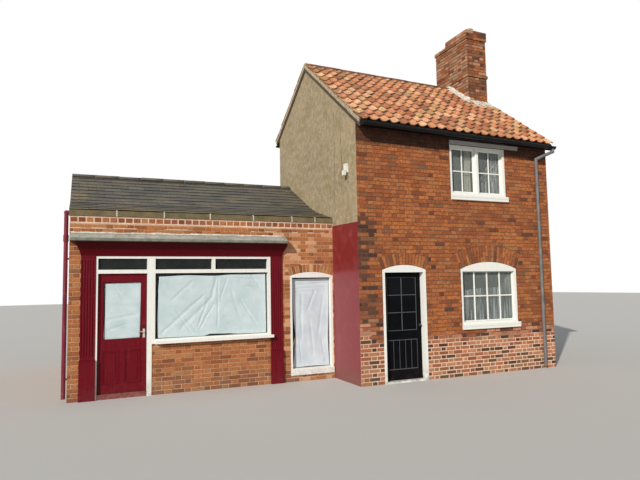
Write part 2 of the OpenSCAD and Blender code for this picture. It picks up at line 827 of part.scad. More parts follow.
module shop_back_window() placed() color([0.90, 0.90, 0.87])
    back_window((shop_w - back_win_w) / 2, back_win_z, shop_d);

module house_front_left_wall() placed() color([0.62, 0.32, 0.18])
    intersection() {
        block(house_x, house_door_x, front_y, house_inner_y, 0, far);
        under_house_roof(roof_v);
    }

module house_front_door_head() placed() color([0.62, 0.32, 0.18])
    difference() {
        intersection() {
            block(house_door_x, house_door_end, front_y, house_inner_y, house_door_spring_z, far);
            under_house_roof(roof_v);
        }
        arched(house_door_x, house_door_w, 0, house_door_spring_z, house_door_rise,
            front_y - past, house_inner_y + past);
    }

module house_front_right_wall() placed() color([0.62, 0.32, 0.18])
    difference() {
        intersection() {
            block(house_door_end, party_x, front_y, house_inner_y, 0, far);
            under_house_roof(roof_v);
        }
        arched(low_win_x, low_win_w, low_sill_z, low_spring_z, low_rise, front_y - past, house_inner_y + past);
        block(up_win_x, up_win_x + up_win_w, front_y - past, house_inner_y + past, up_sill_z, up_head_z);
    }

module gable_wall() placed() color([0.66, 0.58, 0.42])
    intersection() {
        block(gable_x, house_x, front_y, back_y, 0, far);
        under_house_roof(roof_v);
    }

module house_back_wall() placed() color([0.62, 0.34, 0.20])
    difference() {
        intersection() {
            block(house_x, party_x, back_y - wall_t, back_y, 0, far);
            under_house_roof(roof_v);
        }
        back_hole(back_low_x(), back_win_z, back_y);
        back_hole(back_up_x(), back_up_z, back_y);
        block(gable_x + back_door_in, gable_x + back_door_in + back_door_w,
            back_y - wall_t - past, back_y + past, -past, back_door_h);
    }

function back_low_x() = (gable_x + back_door_in + back_door_w + party_x - back_win_w) / 2;
function back_up_x() = (house_x + party_x - back_win_w) / 2;

module party_wall() placed() color([0.60, 0.36, 0.24])
    difference() {
        intersection() {
            block(party_x, house_end, front_y, back_y, 0, far);
            under_house_roof(roof_v);
        }
        stack_footprint(0, stack_seat_z, far);
    }

module ground_floor() placed() color([0.50, 0.48, 0.45])
    difference() {
        block(house_x, party_x, house_inner_y, back_y - wall_t, 0, house_floor_h);
        stack_footprint(0, -past, far);
    }

module upper_floor() placed() color([0.62, 0.52, 0.40])
    difference() {
        block(house_x, party_x, house_inner_y, back_y - wall_t, upper_floor_z, upper_floor_z + upper_floor_t);
        stack_footprint(0, -past, far);
    }

// One slope of the house roof, between y0 and y1, with its tiles as children
module house_slope(y0, y1) {
    difference() {
        union() {
            intersection() {
                falling(gable_x - verge_out, house_end)
                    along_x(-far, 2 * far) polygon([
                        [front_eaves_y, front_eaves_z - roof_v], [house_ridge_y, ridge_h - roof_v],
                        [back_eaves_y, back_eaves_z - roof_v], [back_eaves_y, back_eaves_z],
                        [house_ridge_y, ridge_h], [front_eaves_y, front_eaves_z]
                    ]);
                block(-far, far, y0, y1, 0, far);
            }
            falling(gable_x - verge_out, house_end) children();
        }
        stack_footprint(fit, 0, far);
    }
}

// Outline of the tiles' layer across a slope, with a hollow and a roll for each column. The shares say
// where the hollow and the roll start and end within a column; the back slope's columns are mirrored.
function tile_line(way) = let (
        start = gable_x - verge_out,
        wide = (house_w + verge_out) / tile_columns,
        column = way > 0 ? [[0.16, tile_bed], [0.58, tile_bed], [0.84, roll_h], [0.98, roll_h]]
            : [[0.02, roll_h], [0.16, roll_h], [0.42, tile_bed], [0.84, tile_bed]]
    ) concat(
        [[start - past, -tile_bed]],
        [[start - past, way > 0 ? roll_h : tile_bed]],
        [for (i = [0:tile_columns - 1], p = column) [start + (i + p[0]) * wide, p[1]]],
        [[house_end + past, way > 0 ? roll_h : tile_bed], [house_end + past, -tile_bed]]
    );

module tile_layer(eaves_y, eaves_z, pitch, way) {
    length = (abs(house_ridge_y - eaves_y) - ridge_r - fit) / cos(pitch);
    translate([0, eaves_y, eaves_z]) rotate([way * pitch, 0, 0])
        along_y(way > 0 ? 0 : -length, way > 0 ? length : 0) polygon(tile_line(way));
}

module house_roof_front() placed() color([0.76, 0.42, 0.26])
    house_slope(front_eaves_y, house_ridge_y)
        tile_layer(front_eaves_y, front_eaves_z, front_pitch, 1);

module house_roof_back() placed() color([0.76, 0.42, 0.26])
    house_slope(house_ridge_y, back_eaves_y)
        tile_layer(back_eaves_y, back_eaves_z, back_pitch, -1);

module house_ridge_tiles() placed() color([0.66, 0.38, 0.26])
    difference() {
        falling(gable_x - verge_out, house_end)
            translate([0, house_ridge_y, ridge_h - ridge_sink]) rotate([0, 90, 0])
                difference() {
                    cylinder(r = ridge_r, h = 2 * far, $fn = 64);
                    translate([0, 0, -past])
                        cylinder(r = ridge_r - ridge_tile_t, h = 2 * far + 2 * past, $fn = 64);
                }
        under_house_roof(0);
        stack_footprint(fit, 0, far);
    }

module chimney_stack() placed() color([0.60, 0.32, 0.20]) {
    difference() {
        union() {
            stack_footprint(0, stack_seat_z, cap_z + cap_h);
            block(stack_x, party_x, stack_y, stack_y + stack_d, 0, stack_seat_z);
            stack_footprint(oversail, string_z, string_z + course_h);
            stack_footprint(oversail, cap_z, cap_z + cap_h);
        }
        block(stack_x - oversail - past, stack_x + stack_w + oversail + past,
            stack_y + stack_d - cap_gone_d, stack_y + stack_d + oversail + past,
            cap_z + course_h, far);
    }
}

// Two pots in a sloping bed of mortar on the whole part of the cap
module chimney_pots() placed() color([0.80, 0.72, 0.52]) {
    top = cap_z + cap_h;
    inset = 60;
    bed_d = stack_d - cap_gone_d;
    difference() {
        union() {
            intersection() {
                translate([0, stack_y, top]) along_x(stack_x, stack_x + stack_w)
                    polygon([[0, 0], [bed_d, 0], [bed_d - inset, flaunch_h], [inset, flaunch_h]]);
                translate([stack_x, 0, top]) along_y(stack_y, stack_y + bed_d)
                    polygon([[0, 0], [stack_w, 0], [stack_w - inset, flaunch_h], [inset, flaunch_h]]);
            }
            for (y = pot_places()) translate([stack_x + stack_w / 2, y, top])
                cylinder(r = pot_r, h = flaunch_h + pot_h, $fn = 48);
        }
        for (y = pot_places()) translate([stack_x + stack_w / 2, y, top + 5])
            cylinder(r = pot_r - pot_t, h = flaunch_h + pot_h, $fn = 48);
    }
}

function pot_places() = let (bed_d = stack_d - cap_gone_d)
    [stack_y + bed_d * 0.3, stack_y + bed_d * 0.72];

// Half-round gutter whose back touches y and whose rim is at z, with closed ends
module round_gutter(y, z) {
    intersection() {
        difference() {
            gutter_round(y, z);
            translate([gable_x + gutter_t, y, z]) rotate([0, 90, 0])
                cylinder(r = gutter_r - gutter_t, h = house_w - 2 * gutter_t, $fn = 48);
        }
        block(-far, 2 * far, -far, far, z - far, z);
    }
}

module gutter_round(y, z) {
    translate([0, y, z]) rotate([0, 90, 0]) cylinder(r = gutter_r, h = 2 * far, $fn = 48);
}

// Gutters and the boards that carry them, front and back
module house_gutters() placed() color([0.06, 0.06, 0.07])
    falling(gable_x, house_end) {
        round_gutter(front_gutter_y, front_eaves_z - gutter_drop);
        block(-far, 2 * far, front_eaves_y - board_t, front_eaves_y,
            front_eaves_z - roof_v, front_eaves_z - board_drop);
        round_gutter(back_eaves_y + board_t + gutter_r, back_eaves_z - gutter_drop);
        block(-far, 2 * far, back_eaves_y, back_eaves_y + board_t,
            back_eaves_z - roof_v, back_eaves_z - board_drop);
    }

// Downpipe with a swan neck up to the front gutter
module house_downpipe() placed() color([0.08, 0.08, 0.09]) {
    x = house_end - pipe_in;
    y = front_y - pipe_gap - pipe_r;
    out_x = house_end - outlet_in;
    out_z = front_eaves_z - gutter_drop - gutter_r - fall_at(out_x);
    difference() {
        pipe_run([
            [x, y, pipe_foot_z], [x, y, out_z - house_neck_h], [out_x, front_gutter_y, out_z - outlet_h],
            [out_x, front_gutter_y, out_z + gutter_r]
        ], pipe_r);
        falling(gable_x, house_end) gutter_round(front_gutter_y, front_eaves_z - gutter_drop);
    }
    for (z = [pipe_foot_z + clip_in, (pipe_foot_z + out_z) * mid_clip, out_z - house_neck_h - clip_in])
        block(x - pipe_clip_w / 2, x + pipe_clip_w / 2, y, front_y, z, z + pipe_clip_h);
}

module house_door_frame() placed() color([0.93, 0.93, 0.90])
    difference() {
        arched(house_door_x, house_door_w, 0, house_door_spring_z, house_door_rise,
            front_y - house_frame_out, house_leaf_back);
        block(house_leaf_x, house_leaf_x + house_doorway_w, front_y - 2 * past, house_leaf_back + past,
            house_floor_h, house_door_head_z);
    }

module house_door() placed() color([0.04, 0.04, 0.05])
    translate([house_leaf_x + leaf_gap, house_leaf_y, house_floor_h + leaf_gap])
        difference() {
            cube([house_leaf_w, leaf_t, house_leaf_h]);
            translate([house_stile_w, -past, house_glass_low])
                cube([house_pane_w(), leaf_t + 2 * past, house_leaf_h - house_glass_low - house_rail_h]);
            for (y = [-past, leaf_t - panel_sink])
                translate([house_stile_w, y, house_panel_low])
                    cube([house_pane_w(), panel_sink + past, house_panel_h]);
        }

function house_pane_w() = house_leaf_w - 2 * house_stile_w;

module house_door_hinges() placed() color([0.10, 0.10, 0.10])
    hinges(house_leaf_x + leaf_gap, house_leaf_back, house_floor_h + leaf_gap, house_leaf_h);

module house_door_glass() placed() color([0.12, 0.14, 0.16, 0.5])
    translate([house_leaf_x + leaf_gap + house_stile_w, house_leaf_y + (leaf_t - glass_t) / 2,
        house_floor_h + leaf_gap + house_glass_low])
        cube([house_pane_w(), glass_t, house_leaf_h - house_glass_low - house_rail_h]);

// Round knobs on both faces, on one spindle
module house_door_knob() placed() color([0.70, 0.62, 0.40]) {
    x = house_leaf_x + leaf_gap + house_leaf_w - house_stile_w / 2;
    z = house_floor_h + leaf_gap + knob_up;
    for (side = [0, 1]) {
        face = side == 0 ? house_leaf_y : house_leaf_back;
        dir = side == 0 ? -1 : 1;
        rod([x, face, z], [x, face + dir * 6, z], knob_r);
        rod([x, face + dir * 6, z], [x, face + dir * knob_out, z], knob_r / 2);
        translate([x, face + dir * knob_out, z]) sphere(r = knob_r, $fn = 32);
    }
}

module lower_window_frame() placed() color([0.93, 0.93, 0.90]) {
    difference() {
        arched(low_win_x, low_win_w, low_sill_z + low_sill_h, low_spring_z, low_rise,
            front_y, front_y + win_in);
        block(low_win_x + win_frame_w, low_win_x + low_win_w - win_frame_w,
            front_y - past, front_y + win_in + past,
            low_sill_z + low_sill_h + win_rail_h, low_spring_z - win_rail_h);
    }
    block(low_win_x, low_win_x + low_win_w, front_y, house_inner_y, low_sill_z, low_sill_z + low_sill_h);
    block(low_win_x, low_win_x + low_win_w + win_sill_ear, front_y - win_sill_out, front_y,
        low_sill_z, low_sill_z + low_sill_h);
}

module upper_window_frame() placed() color([0.93, 0.93, 0.90]) {
    difference() {
        block(up_win_x, up_win_x + up_win_w, front_y, front_y + win_in, up_sill_z + up_sill_h, up_head_z);
        block(up_win_x + win_frame_w, up_win_x + up_win_w - win_frame_w,
            front_y - past, front_y + win_in + past,
            up_sill_z + up_sill_h + win_rail_h, up_head_z - win_rail_h);
    }
    block(up_win_x, up_win_x + up_win_w, front_y, house_inner_y, up_sill_z, up_sill_z + up_sill_h);
    block(up_win_x, up_win_x + up_win_w + win_sill_ear, front_y - win_sill_out, front_y,
        up_sill_z, up_sill_z + up_sill_h);
}

// One sheet for each front window of the house
module house_window_glass() placed() color([0.35, 0.42, 0.45, 0.4]) {
    y = front_y + pane_in;
    block(low_win_x + win_frame_w, low_win_x + low_win_w - win_frame_w, y, y + glass_t,
        low_sill_z + low_sill_h + win_rail_h, low_spring_z - win_rail_h);
    block(up_win_x + win_frame_w, up_win_x + up_win_w - win_frame_w, y, y + glass_t,
        up_sill_z + up_sill_h + win_rail_h, up_head_z - win_rail_h);
}

// A curtain on each side of each front window, hung against the frame's inner face
module window_curtains() placed() color([0.90, 0.90, 0.86]) {
    for (side = [0, 1]) {
        curtain(low_win_x, low_win_w, low_curtain[side], side, low_sill_z + low_sill_h, low_spring_z);
        curtain(up_win_x, up_win_w, up_curtain[side], side, up_sill_z + up_sill_h, up_head_z);
    }
}

module curtain(x, w, share, side, z0, z1) {
    y = front_y + win_in;
    x0 = side == 0 ? x + 10 : x + w * (1 - share);
    block(x0, x0 + w * share - 10, y, y + curtain_t, z0 + 15, z1 - 20);
}

module house_back_windows() placed() color([0.90, 0.90, 0.87]) {
    back_window(back_low_x(), back_win_z, back_y);
    back_window(back_up_x(), back_up_z, back_y);
}

// Plain boarded door in its frame
module back_door() placed() color([0.16, 0.20, 0.18]) {
    x0 = gable_x + back_door_in;
    x1 = x0 + back_door_w;
    jamb = 60;
    difference() {
        block(x0, x1, back_y - win_in, back_y, 0, back_door_h);
        block(x0 + jamb, x1 - jamb, back_y - 40, back_y + past, house_floor_h, back_door_h - jamb);
    }
}

// White lamp on a short bracket on the gable
module gable_light() placed() color([0.90, 0.90, 0.88]) {
    y = front_y + 330;
    z = 3950;
    block(gable_x - 55, gable_x, y, y + 90, z, z + 170);
    block(gable_x - 110, gable_x - 55, y - 15, y + 55, z - 60, z + 30);
}

shop_front_pier();
shop_stall_riser();
shop_front_head();
shop_front_right_wall();
shop_side_wall();
shop_back_wall();
shop_inner_side_wall();
shop_floor();
shop_roof_front();
shop_roof_back();
shop_ridge_tiles();
shop_gutters();
shop_downpipe();
left_pilaster();
right_pilaster();
fascia();
cornice_cover();
shopfront_frame();
shopfront_sill();
shopfront_glass();
window_paper();
shop_threshold();
shop_door();
shop_door_hinges();
shop_door_glass();
shop_door_paper();
shop_door_handle();
side_window_frame();
side_window_sill();
side_window_glass();
side_window_paper();
shop_back_window();
house_front_left_wall();
house_front_door_head();
house_front_right_wall();
gable_wall();
house_back_wall();
party_wall();
ground_floor();
upper_floor();
house_roof_front();
house_roof_back();
house_ridge_tiles();
chimney_stack();
chimney_pots();
house_gutters();
house_downpipe();
house_door_frame();
house_door();
house_door_hinges();
house_door_glass();
house_door_knob();
lower_window_frame();
upper_window_frame();
house_window_glass();
window_curtains();
house_back_windows();
back_door();
gable_light();
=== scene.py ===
"""Corner shop built against a two-storey end house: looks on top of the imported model."""
import math
import random

import bpy
from mathutils import Matrix, Vector, noise


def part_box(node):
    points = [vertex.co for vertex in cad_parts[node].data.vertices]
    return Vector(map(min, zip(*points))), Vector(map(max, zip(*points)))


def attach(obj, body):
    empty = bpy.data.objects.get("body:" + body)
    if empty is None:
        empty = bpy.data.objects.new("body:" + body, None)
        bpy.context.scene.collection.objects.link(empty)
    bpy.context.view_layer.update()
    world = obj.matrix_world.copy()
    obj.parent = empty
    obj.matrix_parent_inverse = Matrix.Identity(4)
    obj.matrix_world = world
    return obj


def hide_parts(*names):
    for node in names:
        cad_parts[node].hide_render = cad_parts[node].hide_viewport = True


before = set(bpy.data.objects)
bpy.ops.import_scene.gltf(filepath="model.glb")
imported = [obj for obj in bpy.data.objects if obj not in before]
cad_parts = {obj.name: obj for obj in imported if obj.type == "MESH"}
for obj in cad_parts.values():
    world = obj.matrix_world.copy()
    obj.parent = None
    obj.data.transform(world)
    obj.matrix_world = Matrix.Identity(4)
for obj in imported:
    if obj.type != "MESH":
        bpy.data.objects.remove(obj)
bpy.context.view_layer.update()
ROOT = "building"

# The outer front corner of the shop, from which X, Y and Z run in metres in all that follows
OX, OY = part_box("shop_front_pier")[0][:2]


def site(x, y, z):
    return Vector((OX + x, OY + y, z))


def span(node):
    """A CAD node's lowest and highest corners, measured from the shop's corner."""
    low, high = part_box(node)
    return [(low[0] - OX, low[1] - OY, low[2]), (high[0] - OX, high[1] - OY, high[2])]


# Main sizes, read from the model
SHOP_W = span("shop_front_head")[1][0]
SHOP_D = span("shop_back_wall")[1][1]
HOUSE_X = span("gable_wall")[0][0]
HOUSE_END = span("party_wall")[1][0]
FRONT_Y = span("gable_wall")[0][1]
BACK_Y = span("gable_wall")[1][1]
FRONT_TOP = span("fascia")[0][2]
FASCIA_TOP = span("fascia")[1][2]
CORNICE_TOP = span("cornice_cover")[1][2]


# Camera, where the photo was taken from

SENSOR = 36.0
FOCAL = 545 / 640
YAW, PITCH_UP, ROLL = (math.radians(a) for a in (23.697, 4.592, 1.030))


def add_camera():
    data = bpy.data.cameras.new("Camera")
    data.sensor_width = SENSOR
    data.lens = SENSOR * FOCAL
    data.clip_end = 200
    cam = bpy.data.objects.new("Camera", data)
    bpy.context.scene.collection.objects.link(cam)
    turn = Matrix.Rotation(-YAW, 4, "Z") @ Matrix.Rotation(math.pi / 2 + PITCH_UP, 4, "X")
    cam.matrix_world = Matrix.Translation(site(0.180, -9.892, 1.850)) @ turn @ Matrix.Rotation(-ROLL, 4, "Z")
    bpy.context.scene.camera = cam


add_camera()


# Node materials


def rgb(r, g, b):
    """Linear colour from the 0 to 255 values seen on a screen."""
    return tuple(c / 255 / 12.92 if c < 10.3 else ((c / 255 + 0.055) / 1.055) ** 2.4 for c in (r, g, b))


def scaled(colour, share):
    return tuple(c * share for c in colour)


class Paint:
    """A node material being built. Colours are linear. A grain is a noise's scale, detail and roughness."""

    def __init__(self, name, rough=0.7, gloss=0.5):
        self.material = bpy.data.materials.new(name)
        self.material.use_nodes = True
        self.tree = self.material.node_tree
        self.tree.nodes.clear()
        out = self.tree.nodes.new("ShaderNodeOutputMaterial")
        self.bsdf = self.tree.nodes.new("ShaderNodeBsdfPrincipled")
        self.set("Roughness", rough)
        self.set("Specular IOR Level", gloss)
        self.tree.links.new(self.bsdf.outputs[0], out.inputs[0])
        self.where = self.tree.nodes.new("ShaderNodeTexCoord").outputs["Object"]
        self.material["looks"] = name

    def put(self, socket, value):
        if isinstance(value, bpy.types.NodeSocket):
            self.tree.links.new(value, socket)
        elif isinstance(value, (tuple, list)) and len(value) == 3 and len(socket.default_value) == 4:
            socket.default_value = (*value, 1.0)
        else:
            socket.default_value = value

    def set(self, name, value):
        self.put(self.bsdf.inputs[name], value)

    def colour(self, value):
        self.set("Base Color", value)

    def node(self, kind, inputs=(), **fields):
        made = self.tree.nodes.new("ShaderNode" + kind)
        for key, value in fields.items():
            setattr(made, key, value)
        for key, value in dict(inputs).items():
            self.put(made.inputs[key], value)
        return made

    def math(self, operation, a, b=0.0):
        return self.node("Math", {0: a, 1: b, 2: 0.0}, operation=operation).outputs[0]

    def times(self, a, b):
        return self.math("MULTIPLY", a, b)

    def plus(self, a, b):
        return self.math("ADD", a, b)

    def stretched(self, *scale):
        return self.node("Mapping", {"Vector": self.where, "Scale": scale, "Location": (0, 0, 0)}).outputs[0]

    def noise(self, scale, detail=3.0, rough=0.55, at=None):
        inputs = {"Vector": at or self.where, "Scale": scale, "Detail": detail, "Roughness": rough}
        return self.node("TexNoise", inputs).outputs["Fac"]

    def fit(self, value, low, high, to_low=0.0, to_high=1.0):
        inputs = {"Value": value, "From Min": low, "From Max": high, "To Min": to_low, "To Max": to_high}
        return self.node("MapRange", inputs, clamp=True).outputs[0]

    def ramp(self, value, *stops):
        made = self.node("ValToRGB", {"Fac": value})
        band = made.color_ramp
        while len(band.elements) < len(stops):
            band.elements.new(0.5)
        for element, (place, colour) in zip(band.elements, stops):
            element.position = place
            element.color = (*colour, 1.0)
        return made.outputs["Color"]

    def mix(self, share, a, b):
        made = self.node("Mix", data_type="RGBA", blend_type="MIX")
        self.put(made.inputs["Factor"], share)
        self.put(made.inputs["A"], a)
        self.put(made.inputs["B"], b)
        return made.outputs["Result"]

    def clouds(self, grain, low, high):
        """A noise spread so that low gives 0 and high gives 1."""
        return self.fit(self.noise(*grain), low, high)

    def blend(self, a, b, grain, low, high):
        """Clouds of b in a."""
        return self.mix(self.clouds(grain, low, high), a, b)

    def spots(self, base, colour, amount, grain, low, high):
        """Clouds of a colour over a base, as strong as the amount, which is a number or a socket."""
        return self.mix(self.times(self.clouds(grain, low, high), amount), base, colour)

    def split(self, value):
        return self.node("SeparateXYZ", {0: value}).outputs

    def tone(self):
        """The three random numbers that each face carries."""
        return self.split(self.node("Attribute", attribute_name="tone").outputs["Vector"])

    def place(self):
        return self.split(self.where)

    def facing(self):
        return self.split(self.node("NewGeometry").outputs["Normal"])

    def bump(self, height, strength, distance):
        made = self.node("Bump", {"Height": height, "Strength": strength, "Distance": distance})
        self.set("Normal", made.outputs[0])

    def rough_skin(self, coarse, fine, share, strength, distance):
        """A bump of a coarse grain and a share of a fine one."""
        fine = self.times(self.noise(*fine), share)
        self.bump(self.plus(self.noise(*coarse), fine), strength, distance)


def painted_eaves_shadow(p):
    """Painted shadow cast by the house's front eaves, as a mask over the top of its front wall."""
    at = p.place()
    high = p.times(p.fit(at[2], 4.40, 4.50), p.fit(at[2], 4.95, 5.0, 1.0, 0.0))
    front = p.math("LESS_THAN", at[1], OY + FRONT_Y + 0.05)
    return p.times(p.times(high, front), 0.8)


def brick_paint(name, dark, mid, light, odd, soot=0.25, mottle=0.45):
    p = Paint(name, 0.88)
    dark, mid, light, odd = (rgb(*c) for c in (dark, mid, light, odd))
    base = p.ramp(p.tone()[0], (0.0, dark), (0.35, mid), (0.8, light), (1.0, odd))
    base = p.spots(base, mid, 0.2, (9.0, 4.0), 0.3, 0.7)
    base = p.spots(base, scaled(dark, 0.5), mottle, (34.0, 6.0, 0.75), 0.47, 0.60)
    base = p.spots(base, rgb(88, 66, 50), soot, (1.3, 4.0), 0.45, 0.75)
    base = p.spots(base, odd, 0.5, (64.0, 4.0, 0.7), 0.54, 0.66)
    low = p.fit(p.place()[2], 0.05, 0.55, 0.45, 0.0)
    base = p.spots(base, rgb(120, 104, 84), low, (4.0,), 0.35, 0.65)
    # Bricks under the house's front eaves darkened nearly to black: painted shadow of the eaves.
    p.colour(p.mix(painted_eaves_shadow(p), base, rgb(30, 18, 14)))
    p.rough_skin((70.0, 5.0), (260.0, 2.0), 0.4, 0.55, 0.004)
    return p.material


def mortar_paint(name, colour, low_colour, low_z):
    """Mortar of one colour above the height low_z and another under it."""
    p = Paint(name, 0.95)
    colour = rgb(*colour)
    base = p.blend(colour, scaled(colour, 0.72), (3.0, 4.0), 0.3, 0.7)
    edge = p.plus(p.place()[2], p.times(p.noise(2.0), 0.35))
    base = p.mix(p.fit(edge, low_z + 0.1, low_z + 0.25, 1.0, 0.0), base, rgb(*low_colour))
    base = p.spots(base, rgb(120, 92, 70), 0.4, (45.0, 4.0), 0.4, 0.7)
    # Mortar under the house's front eaves darkened nearly to black: painted shadow of the eaves.
    p.colour(p.mix(painted_eaves_shadow(p), base, rgb(24, 15, 12)))
    p.bump(p.noise(120.0, 4.0), 0.7, 0.004)
    return p.material


SHOP_BRICK = brick_paint(
    "shop brick", (122, 66, 36), (166, 98, 52), (190, 120, 68), (176, 128, 82), 0.25, 0.5)
HOUSE_BRICK = brick_paint(
    "house brick", (138, 72, 38), (168, 94, 48), (192, 114, 60), (170, 116, 70), 0.3, 0.75)
SHOP_PALE = brick_paint(
    "pale shop brick", (178, 116, 78), (204, 144, 102), (220, 170, 130), (204, 156, 112), 0.15, 0.3)
SHOP_DULL = brick_paint(
    "dull shop brick", (118, 62, 40), (146, 82, 54), (168, 104, 70), (120, 92, 66))
HOUSE_DARK = brick_paint(
    "dark house brick", (96, 52, 32), (128, 70, 42), (152, 92, 56), (116, 88, 58), 0.35, 0.55)
HOUSE_LOW = brick_paint(
    "worn house brick", (130, 68, 44), (176, 104, 70), (214, 150, 116), (140, 108, 72), 0.2, 0.45)
HOUSE_BURNT = brick_paint(
    "burnt house brick", (56, 32, 26), (78, 44, 32), (104, 62, 44), (70, 60, 48), 0.3)
STACK_BRICK = brick_paint(
    "chimney brick", (128, 84, 58), (170, 122, 92), (200, 154, 122), (150, 132, 96), 0.35, 0.4)
SHOP_MORTAR = mortar_paint("shop mortar", (222, 178, 140), (214, 178, 148), 0.3)
HOUSE_MORTAR = mortar_paint("house mortar", (112, 70, 46), (240, 206, 176), 0.75)
BAND_MORTAR = mortar_paint("eaves mortar", (250, 216, 192), (250, 216, 192), 0.0)


def render_paint():
    """Pebbly render on the gable, painted maroon where it faces the shopfront."""
    p = Paint("gable render", 0.93)
    at = p.place()
    pebbles = p.node("TexVoronoi", {"Vector": p.where, "Scale": 95.0}, feature="F1").outputs["Distance"]
    base = p.blend(rgb(186, 166, 132), rgb(160, 144, 112), (1.1, 5.0), 0.35, 0.68)
    base = p.spots(base, rgb(214, 196, 164), 0.75, (9.0, 6.0, 0.7), 0.44, 0.6)
    base = p.spots(base, rgb(158, 142, 84), 0.5, (2.2, 5.0), 0.54, 0.68)
    base = p.mix(p.fit(pebbles, 0.25, 0.5, 0.0, 0.6), base, rgb(104, 90, 66))

    # Two upright cracks
    wander = p.times(p.math("SUBTRACT", p.noise(3.0, 6.0, 0.7), 0.5), 0.16)
    lines = []
    for y, low, high in ((-0.17, 3.2, 5.6), (-0.47, 3.6, 5.2)):
        off = p.math("ABSOLUTE", p.plus(p.math("SUBTRACT", at[1], OY + y), wander))
        line = p.times(p.fit(off, 0.002, 0.010, 1.0, 0.0), p.fit(at[2], low, low + 0.3))
        lines.append(p.times(line, p.fit(at[2], high - 0.4, high, 1.0, 0.0)))
    crack = p.math("MAXIMUM", *lines)
    base = p.mix(p.times(crack, 0.75), base, rgb(70, 56, 40))

    # Maroon paint up to a sloping edge, on the face beside the shopfront
    maroon = p.mix(p.fit(at[2], 2.05, 2.12), rgb(130, 52, 56), rgb(116, 22, 26))
    maroon = p.spots(maroon, rgb(150, 78, 86), 0.35, (6.0, 5.0), 0.5, 0.72)
    maroon = p.mix(p.fit(at[2], 0.05, 0.4, 0.6, 0.0), maroon, rgb(116, 84, 76))
    top = p.math("SUBTRACT", 3.01, p.times(p.math("SUBTRACT", OY, at[1]), 0.024))
    painted = p.math("LESS_THAN", p.plus(at[2], p.times(p.noise(14.0), 0.02)), top)
    painted = p.times(painted, p.math("LESS_THAN", at[1], OY + 0.002))
    painted = p.times(painted, p.math("LESS_THAN", p.facing()[0], -0.5))

    # The wall's ends show as mortar between the house's bricks
    joints = p.mix(p.fit(at[2], 0.85, 1.05), rgb(214, 178, 148), rgb(112, 74, 50))
    ends = p.math("GREATER_THAN", p.math("ABSOLUTE", p.facing()[1]), 0.5)
    p.colour(p.mix(ends, p.mix(painted, base, maroon), joints))
    p.set("Roughness", p.fit(painted, 0.0, 1.0, 0.95, 0.5))
    height = p.plus(p.times(pebbles, -0.7), p.noise(40.0, 4.0))
    height = p.plus(height, p.times(crack, -2.0))
    p.bump(p.times(height, p.fit(painted, 0.0, 1.0, 1.0, 0.25)), 0.8, 0.006)
    return p.material


RENDER = render_paint()

# Brush marks run along Z, or along X on the fascia
UP_GRAIN = (60.0, 60.0, 3.0)
ALONG_GRAIN = (3.0, 60.0, 60.0)


def wood_paint(name, colour, worn, chips=0.25, rough=0.45, grain=UP_GRAIN, gloss=0.4, dirt=0.5):
    """Painted timber with brush marks, dirt low down and a few worn patches."""
    p = Paint(name, rough, gloss)
    colour, worn = rgb(*colour), rgb(*worn)
    streak = p.noise(1.0, 4.0, at=p.stretched(*grain))
    base = p.mix(p.times(p.fit(streak, 0.45, 0.75), 0.3), colour, worn)
    patch = p.clouds((7.0, 5.0, 0.65), 0.6, 0.72)
    base = p.mix(p.times(patch, chips), base, worn)
    low = p.fit(p.place()[2], 0.02, 0.30, dirt, 0.0)
    p.colour(p.spots(base, rgb(110, 92, 80), low, (11.0, 4.0), 0.35, 0.6))
    p.set("Roughness", p.fit(patch, 0.0, 1.0, rough, min(1.0, rough + 0.3)))
    p.bump(p.plus(streak, p.times(patch, 0.3)), 0.25, 0.003)
    return p.material


WHITE_WOOD = wood_paint("white paint", (236, 236, 230), (196, 190, 176), 0.25)
MAROON_WOOD = wood_paint("maroon paint", (102, 12, 26), (134, 48, 54), 0.3, 0.42, gloss=0.12, dirt=0.12)
MAROON_DARK = wood_paint("maroon fascia paint", (84, 4, 14), (104, 24, 34), 0.15, 0.4, ALONG_GRAIN, 0.12)
MAROON_IRON = wood_paint("maroon iron", (112, 30, 46), (168, 110, 112), 0.5, 0.5, gloss=0.2)
BLACK_WOOD = wood_paint("black paint", (8, 8, 12), (30, 30, 36), 0.2, 0.5, gloss=0.05, dirt=0.1)
BACK_WOOD = wood_paint("back door paint", (52, 60, 54), (92, 94, 84), 0.3, 0.5)
# White-painted timber coloured grey as painted shade of the eaves, for the board over the upper window.
EAVES_SHADED_WHITE = wood_paint("grey paint", (176, 172, 170), (140, 134, 130), 0.35)
DOOR_BARS = wood_paint("worn black paint", (74, 76, 80), (34, 34, 40), 0.35, 0.45)


def plain(name, colour, other, scale=8.0, rough=0.6, metal=0.0, bump=0.2, distance=0.003, gloss=0.4):
    """Two colours in clouds."""
    p = Paint(name, rough, gloss)
    p.colour(p.blend(rgb(*colour), rgb(*other), (scale, 5.0), 0.35, 0.68))
    p.set("Metallic", metal)
    p.bump(p.noise(scale * 9, 4.0), bump, distance)
    return p.material


